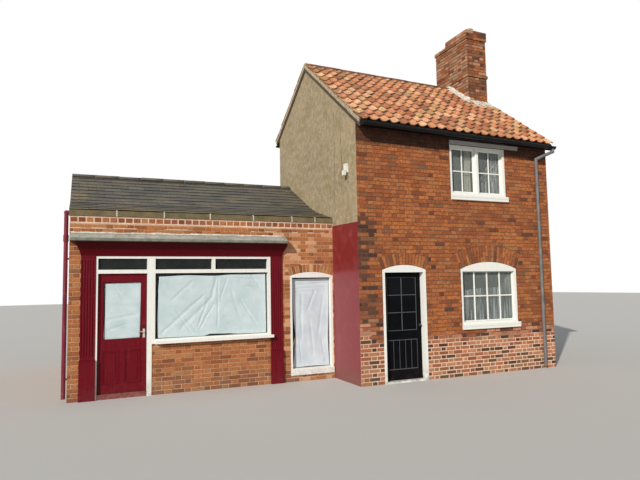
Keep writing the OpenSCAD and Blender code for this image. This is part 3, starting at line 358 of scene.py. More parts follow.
BLACK_PLASTIC = plain("black plastic", (12, 12, 14), (22, 22, 24), 12.0, 0.35, gloss=0.2)
STEEL = plain("hinge steel", (110, 108, 104), (140, 120, 100), 30.0, 0.4, 0.9)
PLASTIC = plain("white plastic", (232, 232, 226), (206, 204, 192), 14.0, 0.4)
WORN_STEP = plain("worn step paint", (112, 48, 48), (140, 92, 80), 12.0, 0.7, 0.0, 0.5, 0.004)
STONE = plain("threshold stone", (150, 144, 132), (118, 112, 102), 9.0, 0.85, 0.0, 0.6)
BOARDS = plain("floor boards", (120, 96, 68), (92, 72, 52), 6.0, 0.7)
TIMBER = plain("roof timber", (84, 70, 54), (60, 50, 40), 6.0, 0.85)
GUTTER = plain("mossy iron", (122, 106, 76), (90, 82, 56), 7.0, 0.85, 0.0, 0.6, 0.005)
PIPE_GREY = plain("grey pipe plastic", (118, 116, 114), (92, 90, 90), 6.0, 0.5)
PALE_STEEL = plain("pale steel", (214, 212, 208), (180, 178, 174), 20.0, 0.35, 0.3)
DARK_KNOB = plain("dark knob", (58, 54, 50), (36, 34, 34), 20.0, 0.4)
POT_CLAY = plain("buff pot clay", (206, 184, 128), (150, 134, 96), 7.0, 0.85, 0.0, 0.5)
STRAP = plain("pale strap", (222, 218, 208), (186, 176, 158), 30.0, 0.7)
RIDGE_CLAY = plain("brown ridge clay", (126, 78, 56), (84, 58, 44), 5.0, 0.85, 0.0, 0.5)
SHOP_RIDGE = plain("shop ridge clay", (74, 72, 66), (104, 98, 84), 4.0, 0.85, 0.0, 0.5)
PALE_MORTAR = plain("verge mortar", (188, 174, 144), (150, 136, 108), 14.0, 0.95, 0.0, 0.8, 0.006)
OLD_MORTAR = plain("old mortar", (138, 130, 112), (104, 96, 80), 14.0, 0.95, 0.0, 0.8, 0.006)
WHITE_MORTAR = plain("white mortar", (226, 220, 206), (176, 168, 150), 11.0, 0.95, 0.0, 0.9, 0.008)
DARK_LEAD = plain("dark lead", (34, 34, 40), (60, 58, 60), 12.0, 0.6, 0.0, 0.4)


def lead_paint():
    """Weathered sheet lead: whitish with spots on its slope, grey-green on its front edge, and painted
    near-black along its lowest edge as shade under the lip.
    """
    p = Paint("weathered lead", 0.6)
    base = p.blend(rgb(176, 174, 166), rgb(146, 146, 136), (3.5, 5.0), 0.35, 0.68)
    base = p.spots(base, rgb(104, 98, 90), 0.6, (16.0, 5.0, 0.7), 0.5, 0.62)
    green = p.blend(rgb(128, 130, 116), rgb(104, 108, 94), (8.0, 4.0), 0.4, 0.6)
    up = p.place()[2]
    base = p.mix(p.fit(up, FASCIA_TOP + 0.040, FASCIA_TOP + 0.066, 1.0, 0.0), base, green)
    # Painted shade under the cover's lip: its foot darkened almost to black.
    under = p.fit(up, FASCIA_TOP + 0.004, FASCIA_TOP + 0.012, 0.85, 0.0)
    p.colour(p.mix(under, base, rgb(20, 14, 14)))
    p.bump(p.noise(30.0, 4.0), 0.35, 0.003)
    return p.material


LEAD = lead_paint()


def glass_paint(name, colour, cover, gloss=0.6):
    """Old window glass: a slight wave, dark room behind."""
    p = Paint(name, 0.06, gloss)
    colour = rgb(*colour)
    p.colour(p.blend(colour, scaled(colour, 1.5), (2.0, 2.0), 0.35, 0.65))
    p.set("Alpha", cover)
    p.bump(p.noise(1.6, 1.0), 0.06, 0.02)
    return p.material


GLASS = glass_paint("window glass", (90, 100, 100), 0.07)
HOUSE_GLASS = glass_paint("dusty window glass", (116, 122, 118), 0.34)
# The house door's glass made near-opaque and near-black: the unlit hall behind it painted on as shade.
HALL_SHADE_GLASS = glass_paint("dark glass", (8, 9, 12), 0.94, 0.08)


def tile_paint(courses):
    """Old clay pantiles: orange to salmon, sooty and mossy in patches, darker in painted shade under the foot
    of each course.
    """
    p = Paint("pantile clay", 0.85)
    tone = p.tone()
    places = 0.0, 0.22, 0.6, 0.85, 1.0
    clays = (156, 92, 58), (196, 126, 84), (216, 150, 106), (236, 182, 138), (196, 122, 84)
    base = p.ramp(tone[0], *((place, rgb(*clay)) for place, clay in zip(places, clays)))
    base = p.spots(base, rgb(160, 108, 78), 0.45, (0.9, 3.0), 0.5, 0.7)
    moss = p.times(p.fit(tone[1], 0.84, 0.9), p.clouds((9.0, 4.0), 0.4, 0.6))
    base = p.mix(p.times(moss, 0.6), base, rgb(168, 158, 92))
    soot = p.times(p.fit(tone[2], 0.86, 0.92), p.clouds((14.0, 4.0), 0.35, 0.6))
    base = p.mix(p.times(soot, 0.7), base, rgb(96, 66, 52))
    base = p.spots(base, rgb(104, 66, 46), 0.7, (22.0, 5.0, 0.7), 0.46, 0.62)
    base = p.spots(base, rgb(220, 188, 150), 0.5, (60.0, 3.0), 0.62, 0.75)

    # Shade under the foot of each course, found on the flat map
    along = p.split(p.node("UVMap", uv_map="OFBake").outputs[0])[1]
    along = p.times(p.math("SUBTRACT", along, BAKE_EDGE), (courses - 0.08) / BAKE_SIZE)
    share = p.math("FRACT", along)
    gap = p.times(p.fit(share, 0.60, 0.70), p.fit(share, 0.86, 0.90, 1.0, 0.0))
    p.colour(p.mix(p.times(gap, 0.75), base, rgb(58, 32, 22)))
    p.rough_skin((45.0, 5.0), (190.0, 2.0), 0.4, 0.4, 0.004)
    return p.material


def slate_paint():
    """Slates: grey, with brown and yellow lichen in wide patches."""
    p = Paint("old slate", 0.72)
    tone = p.tone()
    base = p.ramp(tone[0], (0.0, rgb(66, 65, 58)), (0.5, rgb(80, 78, 68)), (1.0, rgb(94, 90, 78)))
    base = p.mix(p.times(p.fit(tone[1], 0.8, 0.9), 0.5), base, rgb(92, 78, 82))
    lichen = p.clouds((1.4, 5.0, 0.6), 0.5, 0.66)
    base = p.spots(base, rgb(128, 112, 80), lichen, (22.0, 4.0), 0.4, 0.6)
    base = p.spots(base, rgb(46, 44, 40), 0.45, (40.0, 5.0, 0.7), 0.48, 0.6)
    low = p.fit(p.place()[2], 3.12, 3.34, 1.0, 0.0)
    base = p.spots(base, rgb(112, 96, 66), low, (12.0, 4.0), 0.35, 0.6)
    p.colour(p.spots(base, rgb(150, 144, 120), 0.4, (70.0, 3.0), 0.6, 0.72))
    grain = p.noise(30.0, 5.0, at=p.stretched(1.0, 4.0, 4.0))
    p.bump(p.plus(grain, p.times(p.noise(180.0, 2.0), 0.3)), 0.45, 0.003)
    return p.material


SLATE = slate_paint()


def paper_paint(name, colour, shade):
    p = Paint(name, 0.7, 0.3)
    p.colour(p.blend(rgb(*colour), rgb(*shade), (4.0, 5.0), 0.35, 0.7))
    p.rough_skin((28.0, 4.0), (90.0, 3.0), 0.4, 0.22, 0.004)
    return p.material


PAPER = paper_paint("lining paper", (228, 242, 246), (206, 226, 228))
BLUE_PAPER = paper_paint("bluish paper", (236, 248, 252), (214, 226, 238))


def net_paint():
    """Thin net in gathered folds: pale where it doubles; between the folds painted dark as shade of the unlit
    room behind, bluish below 1.45 m and greyer above 1.56 m.
    """
    p = Paint("grey net curtain", 0.9)
    fold = p.fit(p.noise(1.0, 3.0, at=p.stretched(24.0, 24.0, 1.6)), 0.44, 0.60)
    # Painted shade of the dark room behind the net, darker and bluish low down.
    dark = p.mix(p.fit(p.place()[2], 1.45, 1.56), rgb(62, 76, 88), rgb(92, 100, 96))
    p.colour(p.mix(fold, dark, rgb(232, 238, 238)))
    p.bump(p.noise(14.0, 3.0), 0.3, 0.003)
    return p.material


def cloth_paint():
    """Cream cloth with a fine weave."""
    p = Paint("cream curtain", 0.85)
    p.colour(p.blend(rgb(244, 238, 220), rgb(222, 212, 190), (3.0, 4.0), 0.3, 0.7))
    p.set("Sheen Weight", 0.2)
    across = p.noise(1.0, 2.0, at=p.stretched(500.0, 500.0, 30.0))
    along = p.noise(1.0, 2.0, at=p.stretched(30.0, 30.0, 500.0))
    p.bump(p.plus(p.times(across, along), p.noise(14.0, 3.0)), 0.3, 0.003)
    return p.material


GREY_NET = net_paint()
CREAM = cloth_paint()


# Mesh building

# The flat map lies this far inside the unit square that a bake uses
BAKE_EDGE = 0.004
BAKE_SIZE = 0.992
BOX_FACES = [(0, 1, 3, 2), (4, 6, 7, 5), (0, 4, 5, 1), (2, 3, 7, 6), (0, 2, 6, 4), (1, 5, 7, 3)]
SIGNS = [(x, y, z) for x in (-1, 1) for y in (-1, 1) for z in (-1, 1)]
MIDDLE_TONE = (0.5, 0.5, 0.5)


class Shell:
    """Faces gathered for one mesh piece. Each face has a material number and three random numbers.
    Points may also have a place on a flat map, in metres, on which each face gets its share."""

    def __init__(self):
        self.points = []
        self.flat = []
        self.faces = []
        self.tones = []
        self.slots = []
        self.smooth = []

    def add(self, points, faces, tone=MIDDLE_TONE, slot=0, smooth=False, flat=()):
        start = len(self.points)
        self.points.extend(tuple(p) for p in points)
        self.flat.extend(flat)
        for face in faces:
            self.faces.append([start + i for i in face])
            self.tones.extend(tone)
            self.slots.append(slot)
            self.smooth.append(smooth)

    def rim(self, faces, back, tone):
        """Adds flat faces between points already there, numbered from this many points back."""
        start = len(self.points) - back
        self.faces += [[start + i for i in face] for face in faces]
        self.tones += list(tone) * len(faces)
        self.slots += [0] * len(faces)
        self.smooth += [False] * len(faces)

    def join(self, other, shift):
        """Takes in another shell, moved along the flat map."""
        start = len(self.points)
        self.points += other.points
        self.flat += [(u + shift, z) for u, z in other.flat]
        self.faces += [[i + start for i in face] for face in other.faces]
        self.tones += other.tones
        self.slots += other.slots
        self.smooth += other.smooth

    def solid(self, points, faces, **looks):
        """Adds a convex shape, turning each face outwards."""
        points = [Vector(p) for p in points]
        middle = sum(points, Vector()) / len(points)
        turned = []
        for face in faces:
            a, b, c = (points[i] for i in face[:3])
            out = (b - a).cross(c - b).dot(a - middle)
            turned.append(face if out > 0 else face[::-1])
        self.add(points, turned, **looks)

    def box(self, x0, x1, y0, y1, z0, z1, bevel=0.0, **looks):
        """Adds a box with chamfered edges, measured from the shop's corner."""
        low, high = site(x0, y0, z0), site(x1, y1, z1)
        half, middle = (high - low) / 2, (high + low) / 2
        if bevel <= 0:
            points = [middle + Vector([h * s for h, s in zip(half, sign)]) for sign in SIGNS]
            self.solid(points, BOX_FACES, **looks)
            return
        bevel = min(bevel, *(h * 0.45 for h in half))
        number, points = {}, []
        for sign in SIGNS:
            for axis in range(3):
                number[(*sign, axis)] = len(points)
                corner = [sign[k] * (half[k] - (bevel if k != axis else 0)) for k in range(3)]
                points.append(middle + Vector(corner))
        faces = [[number[(*sign, axis)] for axis in range(3)] for sign in SIGNS]
        for axis in range(3):
            a, b = [other for other in range(3) if other != axis]

            def corner_of(side, sa, sb, of_axis):
                key = [0, 0, 0]
                key[axis], key[a], key[b] = side, sa, sb
                return number[(*key, of_axis)]

            for side in (-1, 1):
                round_side = (-1, -1), (1, -1), (1, 1), (-1, 1)
                faces.append([corner_of(side, sa, sb, axis) for sa, sb in round_side])
            for sa in (-1, 1):
                for sb in (-1, 1):
                    turns = (-1, a), (-1, b), (1, b), (1, a)
                    faces.append([corner_of(side, sa, sb, of_axis) for side, of_axis in turns])
        self.solid(points, faces, **looks)

    def piece(self, name, materials, slot, body=ROOT, replaces=()):
        mesh = bpy.data.meshes.new(name)
        mesh.from_pydata(self.points, [], self.faces)
        mesh.attributes.new("tone", "FLOAT_VECTOR", "FACE").data.foreach_set("vector", self.tones)
        for material in materials if isinstance(materials, list) else [materials]:
            mesh.materials.append(material)
        mesh.polygons.foreach_set("material_index", self.slots)
        mesh.polygons.foreach_set("use_smooth", self.smooth)
        if len(self.flat) == len(self.points):
            self.spread(mesh)
        mesh.update()
        made = bpy.data.objects.new(name, mesh)
        bpy.context.scene.collection.objects.link(made)
        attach(made, body)
        if replaces:
            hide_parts(*replaces)
        return made

    def spread(self, mesh):
        """Fits the flat map into the unit square that a bake uses."""
        low = [min(p[i] for p in self.flat) for i in (0, 1)]
        size = [max(p[i] for p in self.flat) - low[i] for i in (0, 1)]
        places = []
        for face in self.faces:
            for i in face:
                places.extend(BAKE_EDGE + BAKE_SIZE * (self.flat[i][k] - low[k]) / size[k] for k in (0, 1))
        mesh.uv_layers.new(name="OFBake").data.foreach_set("uv", places)


def dice(rng):
    return (rng.random(), rng.random(), rng.random())


# Brickwork

COURSE = 0.075
JOINT = 0.010
STRETCHER = 0.225
HEADER = 0.1125
SMALL_ARCH = 0.215
ARCH_BRICK = 0.072
ARCH_JOINT = 0.0065

# How far upright joints wander, how short a cut brick may be and how small a face, in square metres
WANDER = 0.004
SHORTEST = 0.045
SMALLEST = 0.0009

# A brick's unevenness: how far its face stands in or out, how far it leans and how far its corners move
FACE_PLAY = 0.0016
LEAN_PLAY = 0.010
CORNER_PLAY = 0.0012, 0.0010


def clip(poly, a, b, c):
    """The part of a flat shape where a * u + b * z is at most c."""
    kept = []
    for (u0, z0), (u1, z1) in zip(poly, poly[1:] + poly[:1]):
        d0, d1 = a * u0 + b * z0 - c, a * u1 + b * z1 - c
        if d0 <= 0:
            kept.append((u0, z0))
        if (d0 < 0 < d1) or (d1 < 0 < d0):
            t = d0 / (d0 - d1)
            kept.append((u0 + (u1 - u0) * t, z0 + (z1 - z0) * t))
    return kept


def area(poly):
    if len(poly) < 3:
        return 0.0
    return 0.5 * sum(u0 * z1 - u1 * z0 for (u0, z0), (u1, z1) in zip(poly, poly[1:] + poly[:1]))


def cut_out(shapes, hole):
    """Takes a convex hole, given anticlockwise, out of flat shapes."""
    left = []
    lines = []
    for (u0, z0), (u1, z1) in zip(hole, hole[1:] + hole[:1]):
        a, b = z1 - z0, u0 - u1
        lines.append((a, b, a * u0 + b * z0))
    for poly in shapes:
        inside = poly
        for a, b, c in lines:
            inside = clip(inside, a, b, c)
            if len(inside) < 3:
                break
        if area(inside) < 1e-6:
            left.append(poly)
            continue
        rest = poly
        for a, b, c in lines:
            outer = clip(rest, -a, -b, -c)
            if area(outer) > 1e-5:
                left.append(outer)
            rest = clip(rest, a, b, c)
            if len(rest) < 3:
                break
    return left


def rect(u0, u1, z0, z1):
    return [(u0, z0), (u1, z0), (u1, z1), (u0, z1)]


class Arch:
    """A segmental arch of rubbed bricks over an opening from u0 to u1, whose crown is at the height top."""

    def __init__(self, u0, u1, top, rise, height):
        half = (u1 - u0) / 2
        self.middle, self.height = (u0 + u1) / 2, height
        self.radius = (half * half + rise * rise) / (2 * rise)
        self.low = top - self.radius
        self.angle = math.asin(half / self.radius)

    def at(self, angle, out):
        r = self.radius + out
        return self.middle + r * math.sin(angle), self.low + r * math.cos(angle)

    def hole(self):
        edge = [self.at(self.angle * (1 - i / 6), self.height) for i in range(13)]
        return [self.at(self.angle, 0), *edge, self.at(-self.angle, 0)]


class Wall:
    """A wall face seen from outside: u runs to the right from its lower left corner, z up, d out of it."""

    def __init__(self, x, y, along):
        self.corner = site(x, y, 0)
        self.u = Vector((*along, 0))
        self.out = self.u.cross(Vector((0, 0, 1)))

    def at(self, u, z, d):
        return self.corner + self.u * u + self.out * d + Vector((0, 0, z))

    def brick(self, shell, poly, rng, proud=0.006, bevel=0.003, slot=0, shrink=0.0):
        """A worn brick whose face is the shape poly."""
        mid_u, mid_z = (sum(p[i] for p in poly) / len(poly) for i in (0, 1))
        drop = proud + rng.uniform(-FACE_PLAY, FACE_PLAY)
        tilt = [rng.uniform(-LEAN_PLAY, LEAN_PLAY) for _ in range(2)]
        back, front, crown, flat = [], [], [], ([], [], [])
        for u, z in poly:
            du, dz = u - mid_u, z - mid_z
            reach = max(math.hypot(du, dz), 1e-4)
            less = 1 - min(0.4, shrink / reach)
            less_z = 1 - min(0.4, shrink / max(abs(dz), 1e-3))
            du = du * less + rng.uniform(-CORNER_PLAY[0], CORNER_PLAY[0])
            dz = dz * less_z + rng.uniform(-CORNER_PLAY[1], CORNER_PLAY[1])
            share = 1 - min(0.45, bevel * 1.3 / reach)
            share_z = 1 - min(0.45, bevel * 1.5 / max(abs(dz), 1e-3))
            lean = max(0.002, drop + tilt[0] * du + tilt[1] * dz)
            u, z = mid_u + du, mid_z + dz
            inner = mid_u + du * share, mid_z + dz * share_z
            back.append(self.at(u, z, -0.002))
            front.append(self.at(u, z, max(0.001, lean - bevel * 0.7)))
            crown.append(self.at(*inner, lean))
            flat[0].append((u + 0.0035 * du / reach, z + 0.0035 * dz / reach))
            flat[1].append((u, z))
            flat[2].append(inner)
        n = len(poly)
        faces = [list(range(2 * n, 3 * n))]
        for i in range(n):
            j = (i + 1) % n
            faces.append([i, j, n + j, n + i])
            faces.append([n + i, n + j, 2 * n + j, 2 * n + i])
        shell.add([*back, *front, *crown], faces, dice(rng), slot, flat=[*flat[0], *flat[1], *flat[2]])

    def courses(self, shell, length, z0, z1, rng, style, holes=(), limit=None, ends=(0, 0),
                bond="flemish", u0=0.0):
        """Fills a length of the wall with courses of bricks, less its holes and what lies past its limit's
        lines. style gives a brick's looks by its place, and ends says how far the bricks pass the corners."""
        low, high = u0 - ends[0], u0 + length + ends[1]
        row = 0
        while z0 + row * COURSE < z1 - 0.02:
            base = z0 + row * COURSE
            top = min(base + COURSE - JOINT, z1)
            cuts = self.joints(low, high, row, rng, bond)
            for a, b in zip(cuts[:-1], cuts[1:]):
                a_in = a + (JOINT / 2 if a > low else 0)
                b_in = b - (JOINT / 2 if b < high else 0)
                shapes = [rect(a_in, b_in, base, top)]
                for hole in holes:
                    shapes = cut_out(shapes, hole)
                for line in limit((a + b) / 2) if limit else ():
                    shapes = [clip(poly, *line) for poly in shapes]
                looks = style((a + b) / 2, base, rng)
                for poly in shapes:
                    if area(poly) > SMALLEST:
                        self.brick(shell, poly, rng, **looks)
            row += 1

    def joints(self, low, high, row, rng, bond):
        """Where the upright joints of a course lie, between its ends."""
        steps = {"header": [HEADER], "stretcher": [STRETCHER], "flemish": [STRETCHER, HEADER]}[bond]
        place = low - (sum(steps) / 2 if row % 2 else 0)
        cuts, i = [low], 0
        while place < high:
            place += steps[i % len(steps)]
            i += 1
            here = place + rng.uniform(-WANDER, WANDER)
            if low + SHORTEST < here < high - SHORTEST:
                cuts.append(here)
        return [*cuts, high]

    def fan(self, shell, arch, rng):
        """The ring of upright bricks of an arch, some of them in the second material."""
        count = round(2 * arch.angle * (arch.radius + arch.height / 2) / ARCH_BRICK)
        gap = ARCH_JOINT / arch.radius
        for i in range(count):
            a0, a1 = (-arch.angle + 2 * arch.angle * k / count for k in (i, i + 1))
            a0, a1 = a0 + gap, a1 - gap
            parts = [(0.003, arch.height)]
            if arch.height > SMALL_ARCH + 0.03:
                cut = SMALL_ARCH if i % 2 else arch.height - SMALL_ARCH
                parts = [(0.003, cut - 0.004), (cut + 0.004, arch.height - 0.003)]
            for r0, r1 in parts:
                if r1 - r0 > 0.03:
                    poly = [arch.at(a0, r0), arch.at(a1, r0), arch.at(a1, r1), arch.at(a0, r1)]
                    self.brick(shell, poly, rng, slot=1 if rng.random() < 0.22 else 0)


# Roof surfaces

RIDGE_Y = span("house_roof_front")[1][1]
RIDGE_Z = 6.815
EAVES_Y = FRONT_Y - 0.190, BACK_Y + 0.190
HOUSE_W = HOUSE_END - HOUSE_X
FALL = 0.075 / HOUSE_W
PITCH = math.radians(37.65), math.radians(32.5)
ROOF_EDGE = span("house_roof_front")[0][0]
ROOF_THICK = 0.147


def house_roof(x, y):
    """Height of the house roof's tiles."""
    pitch = PITCH[0] if y < RIDGE_Y else PITCH[1]
    return RIDGE_Z - (x - HOUSE_X) * FALL - abs(y - RIDGE_Y) * math.tan(pitch)


# The shop roof's slates lie flatter near the eaves
SHOP_MID = SHOP_D / 2
KINK_Y = 0.9
SLATE_LINE = ((0.05, 3.1639), (KINK_Y, 3.4), (SHOP_MID, 4.18))
LOW_SLOPE = 0.25 / KINK_Y
HIGH_SLOPE = 0.78 / (SHOP_MID - KINK_Y)

# The stack's bricks start this far inside its box, and its upper cap courses end before its back
STACK_LOW, STACK_HIGH = span("chimney_stack")
STACK_GROW = 0.022
STACK_X = STACK_LOW[0] + STACK_GROW, STACK_HIGH[0] - STACK_GROW
STACK_Y = STACK_LOW[1] + STACK_GROW, STACK_HIGH[1] - STACK_GROW
STRING_Z = 6.863
CAP_Z = 7.820
CAP_GONE = 0.47


# Looks of bricks by their place


def shop_front_style(u, z, rng):
    """Paler bricks smeared with mortar beside the shopfront, darker ones near the ground."""
    if 3.7 < u < 4.05 and 1.9 < z < 2.7 and rng.random() < 0.6:
        return {"slot": 1, "proud": 0.003}
    if u > 3.62 and rng.random() < 0.26:
        return {"slot": 1, "proud": 0.004}
    if z < 0.12 and rng.random() < 0.3:
        return {"slot": 2, "proud": 0.003}
    return {"slot": 2} if rng.random() < 0.04 else {}


def dull_style(_u, _z, rng):
    roll = rng.random()
    return {"slot": 2} if roll < 0.12 else {"slot": 1} if roll < 0.16 else {}


def house_front_style(u, z, rng):
    """Sound bricks above, repointed and worn ones below the window sill, dark ones at the gable's corner."""
    edge = 0.86 + 0.10 * math.sin(u * 2.1) + 0.05 * math.sin(u * 7.3)
    if u < 0.52:
        edge = 1.15
    roll = rng.random()
    if z < edge:
        if roll < 0.22:
            return {"slot": 3, "proud": 0.003, "shrink": 0.004}
        proud, shrink = rng.uniform(0.0022, 0.0045), rng.uniform(0.0020, 0.005)
        return {"slot": 2, "proud": proud, "shrink": shrink, "bevel": 0.004}
    if u < 0.34 and z < 3.1:
        return {"slot": 3 if roll < 0.4 else 1 if roll < 0.7 else 0, "proud": 0.004, "shrink": 0.0015}
    if u < 0.9 and roll < 0.12:
        return {"slot": 1}
    return {"slot": 1} if roll < 0.10 else {"slot": 3} if roll < 0.112 else {}


def stack_style(_u, _z, rng):
    roll = rng.random()
    slot = 1 if roll < 0.12 else 2 if roll < 0.24 else 0
    return {"slot": slot, "proud": rng.uniform(0.004, 0.008), "shrink": 0.0015}


def darker_front_style(_u, _z, rng):
    """Bricks of the stack's darker front face."""
    roll = rng.random()
    slot = 1 if roll < 0.42 else 2 if roll < 0.62 else 3 if roll < 0.74 else 0
    return {"slot": slot, "proud": rng.uniform(0.004, 0.008), "shrink": 0.0015}


# Brick walls

SHOP_TOP = 3.055
BAND_Z = SHOP_TOP - 0.118


def build_shop_front(rng, looks):
    shell = Shell()
    front = Wall(0, 0, (1, 0))
    left, right = span("left_pilaster"), span("right_pilaster")
    riser, sill = span("shop_stall_riser")[0][0], span("shopfront_sill")[0][2]
    low, high = span("side_window_sill")
    arch_top, rise = span("side_window_frame")[1][2], 0.074
    arch = Arch(low[0], high[0], arch_top, rise, 0.150)
    holes = [
        rect(left[0][0] + 0.008, right[1][0] - 0.008, -0.1, CORNICE_TOP - 0.02),
        rect(low[0], high[0], low[2], arch_top - rise),
        arch.hole(),
    ]
    front.courses(shell, SHOP_W, 0.0, BAND_Z, rng, shop_front_style, holes, ends=(0.006, 0))
    front.courses(shell, right[0][0] + 0.006 - riser, 0.0, sill, rng, shop_front_style, u0=riser)
    front.fan(shell, arch, rng)
    shell.piece("bricks_shop_front", looks, "shop_brick")

    # Header course under the gutter, in thick pale mortar that also fills some joints below it
    mortar, headers = Shell(), Shell()
    mortar.box(0.001, SHOP_W - 0.001, -0.003, 0.004, BAND_Z - 0.004, SHOP_TOP + 0.004)
    for x0, x1, down in ((0.0, 1.05, 0.082), (0.0, 0.55, 0.150), (1.5, 2.0, 0.082), (3.1, 4.75, 0.082)):
        z = BAND_Z - down
        mortar.box(x0 + 0.002, x1, -0.0055, 0.002, z - 0.008, z + 0.008, 0.003)
    pitch, u = 0.127, -0.004
    while u < SHOP_W - 0.04:
        end = min(u + pitch + rng.uniform(-0.006, 0.006), SHOP_W)
        face = rect(u + 0.010, end - 0.010, BAND_Z + 0.020, SHOP_TOP - 0.022)
        front.brick(headers, face, rng, proud=0.0065, slot=0 if rng.random() < 0.7 else 1)
        u = end
    mortar.piece("eaves_course_mortar", BAND_MORTAR, "shop_brick")
    headers.piece("eaves_course", [SHOP_BRICK, SHOP_DULL], "shop_brick")


def under_slates(y, mirrored=False):
    """Slope of the line under the shop's slates at y, and the height and the Y where that line starts."""
    low = min(y, SHOP_D - y) < KINK_Y
    slope, at_z, at_y = (LOW_SLOPE, 3.060, 0.0) if low else (HIGH_SLOPE, 3.310, KINK_Y)
    return -slope if mirrored else slope, at_z, at_y


def build_shop_walls():
    rng = random.Random(5)
    looks = [SHOP_BRICK, SHOP_PALE, SHOP_DULL]
    build_shop_front(rng, looks)

    def over_side(u):
        rising = SHOP_D - u < SHOP_MID
        slope, at_z, at_y = under_slates(SHOP_D - u, not rising)
        return [(slope, 1.0, at_z + slope * (SHOP_D - at_y if rising else at_y))]

    shell = Shell()
    Wall(0, SHOP_D, (0, -1)).courses(shell, SHOP_D, 0.0, 4.2, rng, dull_style, limit=over_side)
    shell.piece("bricks_shop_side", looks, "shop_brick")

    shell = Shell()
    back = Wall(SHOP_W, SHOP_D, (-1, 0))
    low, high = span("shop_back_window")
    u0, u1 = SHOP_W - high[0] - 0.03, SHOP_W - low[0] + 0.03
    arch = Arch(u0, u1, high[2] + 0.052, 0.04, SMALL_ARCH)
    holes = [rect(u0, u1, low[2] - 0.02, high[2] + 0.01), arch.hole()]
    back.courses(shell, SHOP_W, 0.0, SHOP_TOP, rng, dull_style, holes, ends=(0, 0.006))
    back.fan(shell, arch, rng)
    shell.piece("bricks_shop_back", looks, "shop_brick")

    def over_inner(u):
        slope, at_z, at_y = under_slates(SHOP_D - BACK_Y - u)
        return [(slope, 1.0, at_z + slope * (SHOP_D - at_y - BACK_Y))]

    shell = Shell()
    inner = Wall(SHOP_W, BACK_Y, (0, 1))
    inner.courses(shell, SHOP_D - BACK_Y, 0.0, 3.8, rng, dull_style, limit=over_inner)
    shell.piece("bricks_shop_inner", looks, "shop_brick")


HORN = 0.040
BACK_WINDOW = 1.10, 1.05


def build_house_walls():
    rng = random.Random(9)
    looks = [HOUSE_BRICK, HOUSE_DARK, HOUSE_LOW, HOUSE_BURNT]

    shell = Shell()
    front = Wall(HOUSE_X, FRONT_Y, (1, 0))
    holes, arches = [], []
    for node, foot, horn, rise, tall in (
        ("house_door_frame", -0.1, 0.0, 0.090, 0.225),
        ("lower_window_frame", None, HORN, 0.141, 0.330),
        ("upper_window_frame", None, HORN, 0.0, 0.0),
    ):
        low, high = span(node)
        u0, u1 = low[0] - HOUSE_X, high[0] - horn - HOUSE_X
        top = high[2] - rise if rise else high[2] + 0.02
        holes.append(rect(u0, u1, low[2] if foot is None else foot, top))
        if rise:
            arches.append(Arch(u0, u1, high[2], rise, tall))
            holes.append(arches[-1].hole())

    def below_front(_u):
        return [(FALL, 1.0, house_roof(HOUSE_X, FRONT_Y) - ROOF_THICK)]

    front.courses(shell, HOUSE_W, 0.0, 4.87, rng, house_front_style, holes, below_front, ends=(0.0, 0.006))
    for arch in arches:
        front.fan(shell, arch, rng)
    shell.piece("bricks_house_front", looks, "house_brick")

    shell = Shell()
    back = Wall(HOUSE_END, BACK_Y, (-1, 0))
    (x_low, _, z_low), (x_high, _, z_high) = span("house_back_windows")
    (door0, _, _), (door1, _, door_top) = span("back_door")
    wide, tall = BACK_WINDOW
    spaces = [(x_high - wide, x_high, z_low, z_low + tall), (x_low, x_low + wide, z_high - tall, z_high)]
    spaces.append((door0, door1, -0.1, door_top))
    holes, arches = [], []
    for x0, x1, z0, z1 in spaces:
        u0, u1 = HOUSE_END - x1, HOUSE_END - x0
        holes.append(rect(u0, u1, z0, z1))
        arches.append(Arch(u0, u1, z1 + 0.035, 0.035, SMALL_ARCH))
    holes += [arch.hole() for arch in arches]

    def below_back(_u):
        return [(-FALL, 1.0, house_roof(HOUSE_X, BACK_Y) - ROOF_THICK - FALL * HOUSE_W)]

    back.courses(shell, HOUSE_W, 0.0, 5.6, rng, dull_style, holes, below_back, ends=(0.006, 0))
    for arch in arches:
        back.fan(shell, arch, rng)
    shell.piece("bricks_house_back", looks, "house_brick")

    peak = RIDGE_Z - FALL * HOUSE_W - 0.245
    rise, drop = math.tan(PITCH[0]), math.tan(PITCH[1])
    u_ridge = RIDGE_Y - FRONT_Y

    def below_slopes(_u):
        return [(-rise, 1.0, peak - rise * u_ridge), (drop, 1.0, peak + drop * u_ridge)]

    shell = Shell()
    party = Wall(HOUSE_END, FRONT_Y, (0, 1))
    party.courses(shell, BACK_Y - FRONT_Y, 0.0, 6.7, rng, dull_style, limit=below_slopes)
    shell.piece("bricks_party_wall", looks, "house_brick")


